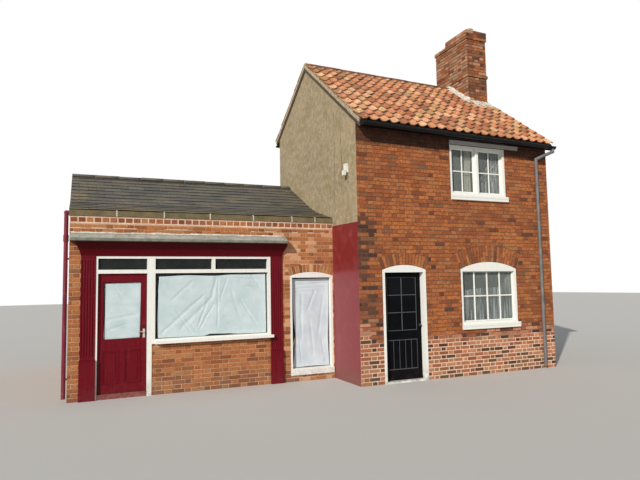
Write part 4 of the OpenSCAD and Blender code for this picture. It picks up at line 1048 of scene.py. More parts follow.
def build_stack():
    """The four faces of the chimney above the roof, with its string course and cap."""
    rng = random.Random(21)
    shell = Shell()
    (x0, x1), (y0, y1) = STACK_X, STACK_Y
    gone = y1 - CAP_GONE
    sides = [((x0, y0), (1, 0)), ((x1, y0), (0, 1)), ((x1, y1), (-1, 0)), ((x0, y1), (0, -1))]
    offset = 0.0
    for (x, y), (dx, dy) in sides:
        length = x1 - x0 if dx else y1 - y0
        style = darker_front_style if dx > 0 else stack_style

        def above_roof(u):
            heights = [house_roof(x + dx * t, y + dy * t) for t in (u - 0.15, u + 0.15)]
            return [(0.0, -1.0, 0.06 - min(heights))]

        part = Shell()
        ends = (0, 0.006)
        Wall(x, y, (dx, dy)).courses(part, length, 5.9, CAP_Z, rng, style, limit=above_roof, ends=ends)
        out = Wall(x + (dy - dx) * STACK_GROW, y - (dx + dy) * STACK_GROW, (dx, dy))
        wide = length + 2 * STACK_GROW
        out.courses(part, wide, STRING_Z, STRING_Z + COURSE, rng, style, (), above_roof, ends, "stretcher")
        for row in range(3):
            u0, u1 = 0.0, wide
            if row and dy > 0:
                u1 = wide - CAP_GONE
            elif row and dy < 0:
                u0 = CAP_GONE
            elif row and y > gone:
                continue
            z = CAP_Z + row * COURSE
            past = (0, 0.006 if u1 == wide else 0)
            bond = "header" if row == 1 else "stretcher"
            out.courses(part, u1 - u0, z, z + COURSE, rng, style, ends=past, bond=bond, u0=u0)
        shell.join(part, offset)
        offset += wide + 0.1

    # End of the upper cap courses, where the back ones are gone
    end = Wall(x1 + STACK_GROW, gone + STACK_GROW, (-1, 0))
    for row in (1, 2):
        part = Shell()
        z = CAP_Z + row * COURSE
        end.courses(part, x1 - x0 + 2 * STACK_GROW, z, z + COURSE, rng, stack_style)
        shell.join(part, offset)
    shell.piece("bricks_chimney", [STACK_BRICK, HOUSE_DARK, HOUSE_BRICK, HOUSE_BURNT], "house_brick")


build_shop_walls()
build_house_walls()
build_stack()


# Pantiles, slates and ridges

# A pantile's top across its width: share of the width, height in metres
PANTILE = (
    (0.0, 0.030), (0.06, 0.018), (0.14, 0.008), (0.26, 0.002), (0.40, 0.0), (0.53, 0.003), (0.64, 0.010),
    (0.73, 0.022), (0.81, 0.036), (0.89, 0.043), (0.97, 0.041), (1.05, 0.031), (1.11, 0.018),
)
TILE_SPAN = 1.11
TILE_W = 0.214
TILE_GAUGE = 0.272
TILE_T = 0.013


class Slope:
    """One slope of the house's roof: s runs up from the eaves, h stands off the surface."""

    def __init__(self, eaves_y, angle, way):
        self.y, self.z, self.way = eaves_y, house_roof(HOUSE_X, eaves_y), way
        self.cos, self.sin = math.cos(angle), math.sin(angle)

    def at(self, x, s, h):
        y = self.y + self.way * (s * self.cos - h * self.sin)
        return site(x, y, self.z + s * self.sin + h * self.cos - (x - HOUSE_X) * FALL)


def curved_plate(shell, rows, tone, flat=()):
    """A closed plate between a grid of points and the same grid moved down. Rows hold (top, bottom) pairs."""
    wide, tall = len(rows[0]), len(rows)
    top = [p[0] for row in rows for p in row]
    low = [p[1] for row in rows for p in row]
    n = len(top)
    faces = []
    for a in (r * wide + c for r in range(tall - 1) for c in range(wide - 1)):
        faces.append([a, a + 1, a + wide + 1, a + wide])
    turn = (top[1] - top[0]).cross(top[wide] - top[0]).z < 0
    if turn:
        faces = [f[::-1] for f in faces]
    faces += [[i + n for i in f[::-1]] for f in faces]
    shell.add([*top, *low], faces, tone, smooth=True, flat=[*flat, *flat])
    ring = [*range(wide), *(r * wide + wide - 1 for r in range(1, tall))]
    ring += [(tall - 1) * wide + c for c in range(wide - 2, -1, -1)]
    ring += [r * wide for r in range(tall - 2, 0, -1)]
    rim = [[a + n, b + n, b, a] for a, b in zip(ring, ring[1:] + ring[:1])]
    shell.rim([f[::-1] for f in rim] if turn else rim, 2 * n, tone)


def pantiles(slope, length, rng, x0, x1, mirrored, blocked):
    """Courses of pantiles from the eaves up to the ridge."""
    shell = Shell()
    columns = math.ceil((x1 - x0) / TILE_W)
    width = (x1 - x0 - 0.03) / columns
    profile = [(TILE_SPAN - u, h) for u, h in reversed(PANTILE)] if mirrored else PANTILE
    for row in range(math.ceil((length - 0.03) / TILE_GAUGE)):
        s0 = row * TILE_GAUGE - 0.03
        s1 = min(s0 + TILE_GAUGE + 0.045, length - 0.02)
        sway = 0.006 * math.sin(row * 1.7)
        for column in range(columns):
            x = x0 + column * width + rng.uniform(-0.004, 0.004) + sway
            middle = x + width / 2
            if blocked(middle, slope.at(middle, (s0 + s1) / 2, 0)):
                continue
            foot = s0 + rng.uniform(-0.008, 0.008)
            lean = rng.uniform(-0.006, 0.006)
            rise = 0.022 + rng.uniform(-0.002, 0.005)
            rows, flat = [], []
            for share in (0.0, 0.5, 1.0):
                s = foot + (s1 - foot) * share
                lift = 0.008 + rise * (1 - share) + 0.003 * math.sin(math.pi * share)
                pairs = []
                for u, h in profile:
                    px = x + u * width + lean * share
                    worn = rng.uniform(0, 0.006) if share == 0 and rng.random() < 0.15 else 0.0
                    pairs.append([slope.at(px, s + worn, h + lift - deep) for deep in (0, TILE_T)])
                    flat.append((column + u * 0.86, row + share * 0.92))
                rows.append(pairs)
            curved_plate(shell, rows, dice(rng), flat)
    return shell


def roof_deck(eaves):
    """Boards and rafters under the tiles, round the stack."""
    shell = Shell()
    y0, y1 = sorted((eaves, RIDGE_Y))
    x_near, x_far = STACK_X[0] - 0.03, STACK_X[1] + 0.03
    y_near, y_far = max(y0, STACK_Y[0] - 0.03), min(y1, STACK_Y[1] + 0.03)
    spans = [(ROOF_EDGE, x_near, y0, y1), (x_far, HOUSE_END, y0, y1)]
    spans += [(x_near, x_far, y0, y_near), (x_near, x_far, y_far, y1)]
    for xa, xb, ya, yb in spans:
        if yb - ya > 0.01:
            sides = [(x, y) for x in (xa, xb) for y in (ya, yb)]
            points = [site(x, y, house_roof(x, y) - depth) for depth in (0.14, 0.002) for x, y in sides]
            shell.solid(points, BOX_FACES)
    return shell


def build_pantiles():
    def blocked(x, p):
        y = p[1] - OY
        return STACK_X[0] - 0.02 < x < STACK_X[1] + 0.02 and STACK_Y[0] - 0.02 < y < STACK_Y[1] + 0.02

    for side, i, way, seed in (("front", 0, 1, 31), ("back", 1, -1, 32)):
        eaves, pitch = EAVES_Y[i], PITCH[i]
        length = abs(RIDGE_Y - eaves) / math.cos(pitch)
        paint = tile_paint(math.ceil((length - 0.085) / TILE_GAUGE))
        slope, rng = Slope(eaves, pitch, way), random.Random(seed)
        shell = pantiles(slope, length - 0.055, rng, ROOF_EDGE - 0.012, HOUSE_END, way < 0, blocked)
        shell.piece("pantiles_" + side, paint, "clay_tile", replaces=("house_roof_" + side,))
        roof_deck(eaves).piece("roof_deck_" + side, TIMBER, "floor_boards")


def half_round(shell, ends, y, radius, thick, rng):
    """A half-round ridge tile along an axis between two (x, z) ends."""
    (x0, z0), (x1, z1) = ends
    turns, spread = 10, 100
    rows, flat = [], []
    for k in range(turns + 1):
        angle = math.radians(-spread + 2 * spread * k / turns)
        pairs = []
        for i, (x, z) in enumerate(((x0, z0), ((x0 + x1) / 2, (z0 + z1) / 2), (x1, z1))):
            swell = 0.003 * math.sin(math.pi * i / 2)
            sizes = radius + swell, radius - thick
            pairs.append([site(x, y + r * math.sin(angle), z + r * math.cos(angle)) for r in sizes])
            flat.append((x, 0.3 * k / turns))
        rows.append(pairs)
    curved_plate(shell, rows, dice(rng), flat)


def rough_strip(shell, path, rng, jitter=0.006):
    """A closed strip of mortar: each station of the path is a loop of points."""
    count = len(path[0])
    points = []
    for p in (p for station in path for p in station):
        points.append(p + Vector([rng.uniform(-jitter, jitter) for _ in range(3)]))
    faces = []
    for i in range(len(path) - 1):
        for k in range(count):
            a, b = i * count + k, i * count + (k + 1) % count
            faces.append([a, b, b + count, a + count])
    faces.append(list(range(count))[::-1])
    faces.append(list(range((len(path) - 1) * count, len(path) * count)))
    centre = sum(path[0], Vector()) / count
    a, b, c = (points[i] for i in faces[0][:3])
    if (b - a).cross(c - b).dot((a + b) / 2 - centre) < 0:
        faces = [f[::-1] for f in faces]
    shell.add(points, faces, dice(rng))


# Length of a ridge tile, and the share of its radius by which it sits below the tiles' ridge
RIDGE_TILE = 0.45
SHOP_RIDGE_TILE = 0.46
RIDGE_SINK = 0.52


def build_house_ridge():
    rng = random.Random(41)
    tiles, bed = Shell(), Shell()
    low, high = span("house_ridge_tiles")
    radius = (high[1] - low[1]) / 2
    drop = radius * RIDGE_SINK
    x, stack_x = low[0], STACK_LOW[0]
    while x < high[0] - 0.1:
        stop = min(x + RIDGE_TILE, high[0])
        if not (x > stack_x - 0.1 and stop < STACK_HIGH[0] + 0.2):
            lift = rng.uniform(-0.004, 0.005)
            z0, z1 = (house_roof(t, RIDGE_Y) - drop + lift for t in (x, stop))
            cut = min(stop, stack_x + 0.02) if x < stack_x < stop else stop
            half_round(tiles, ((x + 0.004, z0), (cut - 0.004, z1)), RIDGE_Y, radius - 0.004, 0.016, rng)
            for side in (-1, 1):
                path = []
                y = RIDGE_Y + side * (radius * 0.98)
                for t in (x + (stop - x) * i / 6 for i in range(7)):
                    z = house_roof(t, y)
                    loop = (-0.02, 0.055), (0.018, 0.035), (0.004, -0.02), (-0.04, -0.01)
                    path.append([site(t, y + side * out, z + up) for out, up in loop])
                rough_strip(bed, path, rng, jitter=0.005)
        x = stop

    # Mortar cap at the gable end of the ridge
    ends = []
    angles = [math.radians(-95 + 190 * i / 9) for i in range(10)]
    cap = radius - 0.01
    for x in (low[0] - 0.004, low[0] + 0.026):
        z = house_roof(x, RIDGE_Y) - drop
        ends.append([site(x, RIDGE_Y + cap * math.sin(a), z + cap * math.cos(a)) for a in angles])
    rough_strip(bed, ends, rng, jitter=0.002)
    tiles.piece("ridge_tiles_house", RIDGE_CLAY, "clay_tile", replaces=("house_ridge_tiles",))
    bed.piece("ridge_mortar_house", PALE_MORTAR, "render")


SLATE_W = 0.305
SLATE_GAUGE = 0.205
SLATE_LENGTHS = [math.dist(a, b) for a, b in zip(SLATE_LINE, SLATE_LINE[1:])]
SLATE_TOTAL = sum(SLATE_LENGTHS)


def slate_line(s):
    """Y, Z and the upward normal at s along the shop roof's slope."""
    first = s < SLATE_LENGTHS[0]
    (ya, za), (yb, zb) = SLATE_LINE[0:2] if first else SLATE_LINE[1:3]
    size = math.hypot(yb - ya, zb - za)
    t = (s if first else s - SLATE_LENGTHS[0]) / size
    return ya + (yb - ya) * t, za + (zb - za) * t, -(zb - za) / size, (yb - ya) / size


def build_slates():
    rng = random.Random(51)
    x0, x1 = span("shop_roof_front")[0][0] - 0.004, SHOP_W
    for name, flip in (("slates_front", False), ("slates_back", True)):
        shell = Shell()
        for row in range(math.ceil((SLATE_TOTAL - 0.05) / SLATE_GAUGE)):
            s0 = row * SLATE_GAUGE - 0.012
            s1 = min(s0 + SLATE_GAUGE + 0.05, SLATE_TOTAL)
            x = x0 - (SLATE_W / 2 if row % 2 else 0)
            while x < x1 - 0.02:
                a, b = max(x, x0) + 0.002, min(x + SLATE_W, x1) - 0.002
                x += SLATE_W
                if b - a < 0.03:
                    continue
                low, skew = s0 + rng.uniform(-0.006, 0.006), rng.uniform(-0.004, 0.004)
                chip_a, chip_b = (rng.uniform(0.0, 0.03) if rng.random() < 0.12 else 0.001 for _ in range(2))
                outline = [(a + chip_a, low), (b - chip_b, low + skew), (b, low + chip_b + skew)]
                outline += [(b, s1), (a, s1), (a, low + chip_a)]
                lift = 0.013 + rng.uniform(0, 0.006)
                top, under = [], []
                for px, s in outline:
                    y, z, ny, nz = slate_line(max(0.0, min(s, SLATE_TOTAL)))
                    if s < 0:
                        y, z = y + s, z + s * 0.28
                    up = lift * (1 - (s - low) / (s1 - low)) + 0.004
                    for h, side in ((up + 0.004, top), (up - 0.004, under)):
                        py = y + ny * h
                        side.append(site(px, SHOP_D - py if flip else py, z + nz * h))
                faces = [list(range(6)), [i + 6 for i in range(5, -1, -1)]]
                faces += [[i, i + 6, (i + 1) % 6 + 6, (i + 1) % 6] for i in range(6)]
                if flip:
                    faces = [face[::-1] for face in faces]
                flat = [(u, s + row * 0.02) for u, s in outline] * 2
                shell.add([*top, *under], faces, dice(rng), flat=flat)
        shell.piece(name, SLATE, "slate")


def build_shop_ridge():
    rng = random.Random(61)
    shell, bed = Shell(), Shell()
    low, high = span("shop_ridge_tiles")
    x, top, wing = low[0] - 0.004, high[2], (high[1] - low[1]) / 2
    half = [(-wing, -wing * HIGH_SLOPE), (-wing * 0.5, -wing * HIGH_SLOPE * 0.52), (-0.035, -0.012)]
    line = [*half, (0.0, 0.0), *((-y, z) for y, z in half[::-1])]
    while x < high[0] - 0.02:
        stop = min(x + SHOP_RIDGE_TILE, high[0])
        lift, sway = rng.uniform(-0.007, 0.004), rng.uniform(-0.005, 0.005)
        rows, flat = [], []
        for px in (x + 0.003, (x + stop) / 2, stop - 0.003):
            pairs = []
            for dy, dz in line:
                upper = site(px, SHOP_MID + dy + sway, top + dz + lift)
                pairs.append((upper, site(px, SHOP_MID + dy * 0.93 + sway, top + dz - 0.018 + lift)))
                flat.append((px, dy))
            rows.append(pairs)
        curved_plate(shell, rows, dice(rng), flat)
        joint = []
        for px in (stop - 0.014, stop + 0.010):
            loop = [site(px, SHOP_MID + dy * 1.01, top + dz + 0.004 + lift) for dy, dz in line]
            joint.append(loop + [site(px, SHOP_MID + dy * 0.9, top + dz - 0.03) for dy, dz in line[::-1]])
        if stop < high[0] - 0.05:
            rough_strip(bed, joint, rng, jitter=0.002)
        x = stop
    shell.piece("ridge_tiles_shop", SHOP_RIDGE, "clay_tile", replaces=("shop_ridge_tiles",))
    bed.piece("ridge_joints_shop", OLD_MORTAR, "render")


def build_stack_fillets():
    """White mortar where the tiles meet the stack, and a dark apron on its far side."""
    rng = random.Random(71)
    shell, dark = Shell(), Shell()
    (x0, x1), (y0, y1) = STACK_X, STACK_Y
    path = []
    for i in range(26):
        y = y0 - 0.05 + (y1 - y0 + 0.05) * i / 25
        out = -0.185 - 0.03 * math.sin(i * 1.3) - rng.uniform(-0.02, 0.02)
        up = 0.14 + rng.uniform(-0.025, 0.025)
        loop = (0.01, -0.02), (0.01, up), (-0.04, up * 0.72), (out, 0.058), (out - 0.004, 0.005)
        path.append([site(x0 + dx, y, house_roof(x0, y) + dz) for dx, dz in loop])
    rough_strip(shell, path, rng)

    path = []
    for i in range(16):
        x = x0 - 0.06 + (x1 - x0 + 0.10) * i / 15
        out = 0.23 + 0.03 * math.sin(i * 2.1) + rng.uniform(-0.02, 0.02)
        base, edge = house_roof(x, y0), house_roof(x, y0 - out)
        loop = [(0.01, base - 0.02), (0.01, base + 0.10 + rng.uniform(-0.015, 0.01)), (-0.05, base + 0.045)]
        loop += [(-out, edge + 0.048), (-out - 0.004, edge + 0.004)]
        path.append([site(x, y0 + dy, z) for dy, z in loop])
    rough_strip(shell, path, rng)
    path = []
    for i in range(8):
        x = x0 + (x1 - x0) * i / 7
        base, edge = house_roof(x, y1), house_roof(x, y1 + 0.12)
        loop = (-0.01, base - 0.02), (-0.01, base + 0.10), (0.12, edge + 0.05), (0.124, edge)
        path.append([site(x, y1 + dy, z) for dy, z in loop])
    rough_strip(shell, path, rng)
    path = []
    for i in range(12):
        y = y0 + 0.10 + (RIDGE_Y + 0.10 - y0) * i / 11
        loop = (-0.01, -0.02), (-0.01, 0.19), (0.035, 0.14), (0.088, 0.05), (0.092, 0.0)
        path.append([site(x1 + dx, y, house_roof(x1, y) + dz) for dx, dz in loop])
    rough_strip(dark, path, rng, jitter=0.004)
    shell.piece("chimney_mortar_fillets", WHITE_MORTAR, "render")
    dark.piece("chimney_apron", DARK_LEAD, "lead")


def build_stack_top():
    """Broken slab on the low back part of the cap and mortar heaped round the pots."""
    rng = random.Random(23)
    shell = Shell()
    low, high = STACK_LOW, STACK_HIGH
    step, path = CAP_Z + COURSE, []
    for i in range(9):
        y = STACK_Y[1] - 0.44 + CAP_GONE * i / 8
        up = step + 0.034 + rng.uniform(-0.006, 0.006)
        loop = (low[0] + 0.006, step), (high[0] - 0.006, step), (high[0] - 0.010, up), (low[0] + 0.004, up)
        path.append([site(x, y, z) for x, z in loop])
    rough_strip(shell, path, rng, jitter=0.004)

    pots_low, pots_high = span("chimney_pots")
    middle, count, widest = (pots_low[0] + pots_high[0]) / 2, 14, 0.19
    for share in (0.22, 0.78):
        y = pots_low[1] + (pots_high[1] - pots_low[1]) * share
        points = []
        rings = (widest, 0.0), (0.175, 0.030), (0.145, 0.052), (0.112, 0.058), (0.112, 0.0)
        for reach, up in rings:
            for k in range(count):
                a = 2 * math.pi * k / count
                r = min(reach + rng.uniform(-0.008, 0.008), widest)
                points.append(site(middle + r * math.cos(a), y + r * math.sin(a), high[2] - 0.004 + up))
        faces = []
        for i in range(len(rings)):
            here, above = i * count, (i + 1) % len(rings) * count
            for k, m in ((k, (k + 1) % count) for k in range(count)):
                faces.append([here + k, here + m, above + m, above + k])
        shell.add(points, faces, dice(rng))
    shell.piece("chimney_top_mortar", WHITE_MORTAR, "render")


def build_verge():
    """Mortar under the tiles along the gable's edges."""
    rng = random.Random(81)
    shell = Shell()
    loop = (-0.010, 0.018), (0.03, 0.02), (0.03, -0.02), (-0.008, -0.062)
    for eaves in EAVES_Y:
        path = []
        for y in (eaves + (RIDGE_Y - eaves) * i / 29 for i in range(30)):
            path.append([site(ROOF_EDGE + dx, y, house_roof(ROOF_EDGE, y) + dz) for dx, dz in loop])
        rough_strip(shell, path, rng, jitter=0.003)
    shell.piece("verge_mortar", PALE_MORTAR, "render")


build_pantiles()
build_house_ridge()
build_slates()
build_shop_ridge()
build_stack_fillets()
build_stack_top()
build_verge()


# Papers behind the shop's glass


def crumple(u, v, size, folds, seed):
    """How far crumpled paper stands off its plane at the shares u, v of its size, in metres."""
    x, z = u * size[0], v * size[1]
    depth = 0.0
    for (u0, v0), (u1, v1), wide, deep in folds:
        x0, z0, dx, dz = u0 * size[0], v0 * size[1], (u1 - u0) * size[0], (v1 - v0) * size[1]
        length = math.hypot(dx, dz)
        dx, dz = dx / length, dz / length
        along = (x - x0) * dx + (z - z0) * dz
        off = abs((x - x0) * dz - (z - z0) * dx + 0.012 * noise.noise(Vector((along * 6, seed, 0))))
        fade = max(0.0, min(1.0, min(along, length - along) / 0.08 + 0.6))
        depth += deep * fade * max(0.0, 1 - off / wide) ** 1.3
    p = Vector((x, z, seed))
    depth += 0.0045 * abs(noise.noise(p * 3.1)) + 0.0028 * abs(noise.noise(p * 8.3 + Vector((3, 1, 4))))
    return depth + 0.0014 * abs(noise.noise(p * 21.0))


# Distance between a paper's points, which is also the most that it may stand off, and its thickness
PAPER_STEP = 0.013
PAPER_T = 0.0008


def paper(name, node, material, seed, edges, folds, body=ROOT):
    """A crumpled sheet whose left, right, top and bottom edges wander inwards by edges(share)."""
    (x_low, y, z_low), (x_high, _, z_high) = span(node)
    left, right, top, bottom = (wave(*stops) for stops in edges)
    wide, tall = x_high - x_low, z_high - z_low
    step = most = PAPER_STEP
    nu, nv = round(wide / step), round(tall / step)
    rows, flat = [], []
    for j in range(nv + 1):
        v, pairs = j / nv, []
        for i in range(nu + 1):
            u = i / nu
            x0, x1 = x_low + left(v), x_high - right(v)
            z0, z1 = z_low + bottom(u), z_high - top(u)
            x, z = x0 + (x1 - x0) * u, z0 + (z1 - z0) * v
            d = min(crumple(u, v, (wide, tall), folds, seed), most)
            pairs.append((site(x, y + d, z), site(x, y + d + PAPER_T, z)))
            flat.append((x, z))
        rows.append(pairs)
    shell = Shell()
    curved_plate(shell, rows, MIDDLE_TONE, flat)
    shell.piece(name, material, "white_paper", body, (node,))


def wave(*stops):
    """A smooth curve through (share, value) stops."""
    def at(t):
        for (t0, a), (t1, b) in zip(stops, stops[1:]):
            if t <= t1:
                s = max(0.0, (t - t0) / (t1 - t0))
                return a + (b - a) * s * s * (3 - 2 * s)
        return stops[-1][1]
    return at


# Edges are (share, inset) stops; a fold has two ends as shares, its width and its depth in metres
paper(
    "paper_shop_window", "window_paper", PAPER, 3.0,
    (
        ((0, 0.030), (0.3, 0.018), (0.7, 0.034), (1, 0.048)), ((0, 0.004), (1, 0.012)),
        ((0, 0.040), (0.25, 0.022), (0.5, 0.034), (0.7, 0.012), (1, 0.006)),
        ((0, 0.004), (0.40, 0.0), (0.47, 0.030), (0.62, 0.022), (0.75, 0.004), (1, 0.0)),
    ),
    [
        ((0.52, 0.97), (0.48, 0.62), 0.050, 0.010), ((0.48, 0.62), (0.20, 0.14), 0.060, 0.010),
        ((0.54, 0.98), (0.535, 0.10), 0.022, 0.008), ((0.40, 0.66), (0.04, 0.08), 0.045, 0.009),
        ((0.44, 0.55), (0.36, 0.18), 0.030, 0.009), ((0.50, 0.50), (0.37, 0.12), 0.028, 0.008),
        ((0.76, 0.55), (0.90, 0.16), 0.030, 0.009), ((0.62, 0.92), (0.56, 0.60), 0.030, 0.007),
        ((0.70, 0.94), (0.93, 0.90), 0.020, 0.008), ((0.80, 0.80), (0.93, 0.76), 0.022, 0.008),
        ((0.86, 0.97), (0.97, 0.72), 0.024, 0.008), ((0.30, 0.90), (0.12, 0.60), 0.040, 0.006),
        ((0.16, 0.45), (0.30, 0.05), 0.030, 0.006), ((0.60, 0.30), (0.80, 0.06), 0.030, 0.007),
        ((0.66, 0.74), (0.74, 0.30), 0.050, 0.006), ((0.24, 0.30), (0.34, 0.10), 0.025, 0.006),
    ],
)
paper(
    "paper_shop_door", "shop_door_paper", PAPER, 7.0,
    (
        ((0, 0.006), (0.45, 0.030), (1, 0.020)), ((0, 0.018), (0.35, 0.012), (0.8, 0.004), (1, 0.0)),
        ((0, 0.024), (0.4, 0.016), (1, 0.004)), ((0, 0.0), (1, 0.012)),
    ),
    [
        ((0.1, 0.35), (0.9, 0.42), 0.05, 0.006), ((0.1, 0.62), (0.8, 0.55), 0.06, 0.005),
        ((0.3, 0.9), (0.5, 0.7), 0.04, 0.005), ((0.15, 0.18), (0.6, 0.25), 0.03, 0.006),
        ((0.5, 0.20), (0.85, 0.08), 0.03, 0.006),
    ],
    "shop_door_leaf",
)
paper(
    "paper_side_window", "side_window_paper", BLUE_PAPER, 11.0,
    (
        ((0, 0.030), (0.18, 0.060), (0.33, 0.085), (0.6, 0.045), (1, 0.022)),
        ((0, 0.012), (0.3, 0.030), (0.7, 0.006), (1, 0.004)),
        ((0, 0.020), (1, 0.010)), ((0, 0.004), (0.6, 0.012), (1, 0.002)),
    ),
    [
        ((0.0, 0.93), (1.0, 0.945), 0.020, 0.009), ((0.0, 0.885), (1.0, 0.90), 0.018, 0.007),
        ((0.0, 0.85), (0.7, 0.865), 0.016, 0.006), ((0.25, 0.82), (0.18, 0.30), 0.05, 0.008),
        ((0.62, 0.86), (0.40, 0.64), 0.04, 0.008), ((0.85, 0.80), (0.70, 0.35), 0.05, 0.007),
        ((0.10, 0.40), (0.22, 0.05), 0.03, 0.008), ((0.45, 0.55), (0.55, 0.12), 0.05, 0.007),
        ((0.8, 0.30), (0.9, 0.04), 0.03, 0.007),
    ],
)


# Curtains in the house's front windows

CURTAIN_Y = [corner[1] for corner in span("window_curtains")]


# Points across a fold and up a curtain, and the thickness of its cloth
FOLD_STEPS = 10
HEIGHT_STEPS = 44
CLOTH_T = 0.0012


def curtain(name, x0, x1, z0, z1, reach, folds, material, seed, window, replaces=(), crown=lambda u: 1.0):
    """A gathered curtain. reach(v) gives its sides at the share v of its height, crown(u) its top."""
    rng = random.Random(seed)
    nu, nv = folds * FOLD_STEPS, HEIGHT_STEPS
    mid, deep = sum(CURTAIN_Y) / 2, (CURTAIN_Y[1] - CURTAIN_Y[0]) / 2 - 0.002
    phase = [rng.uniform(-0.5, 0.5) for _ in range(folds + 1)]
    rows, lengths = [], []
    for j in range(nv + 1):
        v = j / nv
        left, right = reach(v)
        open_out = 0.75 + 0.25 * (1 - v)
        line = []
        for i in range(nu + 1):
            u = i / nu
            turn = u * folds
            k = int(min(turn, folds - 1))
            a = phase[k] + (phase[k + 1] - phase[k]) * (turn - k)
            swing = math.sin(2 * math.pi * turn + a * (1.6 - v) + 0.5 * math.sin(5 * v + k))
            x = left + (right - left) * (u + 0.012 * math.sin(4 * math.pi * turn) * open_out)
            y = mid + deep * open_out * swing * (0.85 + 0.15 * math.sin(3 * v + seed))
            z = z0 + (z1 - z0) * v * crown(u) + 0.006 * math.sin(9 * u + seed) * (1 - v)
            line.append(site(max(x0, min(x1, x)), y, z))
        rows.append([(p, p + Vector((0, CLOTH_T, 0))) for p in line])
        lengths.append(sum((b - a).length for a, b in zip(line, line[1:])))
    shell = Shell()
    curved_plate(shell, rows, MIDDLE_TONE)
    piece = shell.piece(name, material, "curtain_cloth", replaces=replaces)

    # Its lengths along the folds, gathered above, and the crown's share across its top: worked out but not
    # used
    tops = [crown(i / 20) for i in range(21)]


REVEAL = 0.010


def build_curtains():
    low, high = span("window_curtains")
    lower, upper = "lower_window_frame", "upper_window_frame"
    lx0, lx1 = span(lower)[0][0] + REVEAL, span(lower)[1][0] - HORN - REVEAL
    ux0, ux1 = span(upper)[0][0] + REVEAL, span(upper)[1][0] - HORN - REVEAL
    low_z, up_z = (low[2], low[2] + 1.053), (high[2] - 0.948, high[2])
    curtain(
        "curtain_lower_left", lx0, lx0 + 0.684, *low_z, lambda v: (lx0 + 0.004, lx0 + 0.674),
        9, GREY_NET, 1, lower, ("window_curtains",), lambda u: 0.60 + 0.06 * u)
    curtain(
        "curtain_lower_right", lx1 - 0.684, lx1, *low_z, lambda v: (lx1 - 0.674, lx1 - 0.004),
        9, GREY_NET, 2, lower, (), lambda u: 0.66 + 0.34 * max(0.0, (u - 0.6) / 0.4) ** 0.8)
    curtain(
        "curtain_upper_left", ux0, ux0 + 0.676, *up_z,
        lambda v: (ux0 + 0.46 - 0.03 * math.cos(3.1 * (v - 0.2)), ux0 + 0.60 + 0.06 * abs(v - 0.45)),
        3, CREAM, 3, upper)
    curtain(
        "curtain_upper_right", ux1 - 0.676, ux1, *up_z,
        lambda v: (ux1 - 0.60 + 0.48 * max(0.0, v - 0.25) / 0.75, ux1 - 0.004),
        7, GREY_NET, 4, upper)


# Glazing bars, sashes and mouldings


def bar_cross(shell, x0, x1, z0, z1, y, deep, wide, columns, rows):
    """Upright and level glazing bars over a pane, with chamfered edges."""
    for i in range(1, columns):
        x = x0 + (x1 - x0) * i / columns
        shell.box(x - wide / 2, x + wide / 2, y, y + deep, z0, z1, 0.004)
    for i in range(1, rows):
        z = z0 + (z1 - z0) * i / rows
        for k in range(columns):
            a = x0 + (x1 - x0) * k / columns + (wide / 2 if k else 0)
            b = x0 + (x1 - x0) * (k + 1) / columns - (wide / 2 if k < columns - 1 else 0)
            shell.box(a, b, y + 0.001, y + deep - 0.001, z - wide / 2, z + wide / 2, 0.004)


def frame_ring(shell, x0, x1, z0, z1, y, deep, side, top, bottom, bevel=0.004):
    """Four mitreless rails round an opening, inside its edges."""
    back, inner0, inner1 = y + deep, x0 + side, x1 - side
    shell.box(x0, inner0, y, back, z0, z1, bevel)
    shell.box(inner1, x1, y, back, z0, z1, bevel)
    shell.box(inner0, inner1, y, back, z1 - top, z1, bevel)
    shell.box(inner0, inner1, y, back, z0, z0 + bottom, bevel)


# From the edge of a window's frame to the edge of its panes
RAIL = 0.048


def build_windows():
    (_, pane, glass_low), (_, _, glass_high) = span("house_window_glass")
    lower, upper = span("lower_window_frame"), span("upper_window_frame")
    x0, x1 = lower[0][0] + RAIL, lower[1][0] - HORN - RAIL
    z0, z1 = glass_low, 2.045
    shell = Shell()
    frame_ring(shell, x0, x1, z0, z1, pane - 0.022, 0.020, 0.014, 0.016, 0.022)
    bar_cross(shell, x0 + 0.012, x1 - 0.012, z0 + 0.02, z1 - 0.014, pane - 0.024, 0.022, 0.028, 4, 2)
    shell.piece("lower_window_bars", WHITE_WOOD, "white_wood")

    shell = Shell()
    x0, x1 = upper[0][0] + RAIL, upper[1][0] - HORN - RAIL
    z0, z1 = upper[0][2] + 0.104 + 0.045, glass_high
    middle, stile, level = 7.594, 0.034, 4.074
    shell.box(middle - stile, middle + stile, FRONT_Y + 0.004, pane - 0.001, z0, z1, 0.005)
    for a, b in ((x0, middle - stile), (middle + stile, x1)):
        frame_ring(shell, a, b, z0, z1, pane - 0.026, 0.024, 0.036, 0.030, 0.040)
        a, b = a + 0.036, b - 0.036
        bar_cross(shell, a, b, z0 + 0.040, z1 - 0.030, pane - 0.022, 0.020, 0.024, 2, 1)
        half = (a + b) / 2
        for c, d in ((a, half - 0.012), (half + 0.012, b)):
            shell.box(c, d, pane - 0.021, pane - 0.003, level - 0.013, level + 0.013, 0.004)
    shell.piece("upper_window_casements", WHITE_WOOD, "white_wood")

    # Board over the upper window, under the gutter: white-painted, coloured grey as painted shade of the
    # eaves
    shell = Shell()
    for low_z, high_z, out in ((4.604, 4.668, 0.024), (4.652, 4.684, 0.036)):
        shell.box(6.895, 8.665, FRONT_Y - out, FRONT_Y + 0.002, low_z, high_z, 0.004)
    shell.piece("upper_window_lintel_board", EAVES_SHADED_WHITE, "white_wood")

    # Drip edges under the sills
    shell = Shell()
    for low, high in (lower, upper):
        shell.box(low[0], high[0], low[1] - 0.006, low[1] + 0.01, low[2] + 0.050, low[2] + 0.100, 0.008)
    shell.piece("sill_edges", WHITE_WOOD, "white_wood")


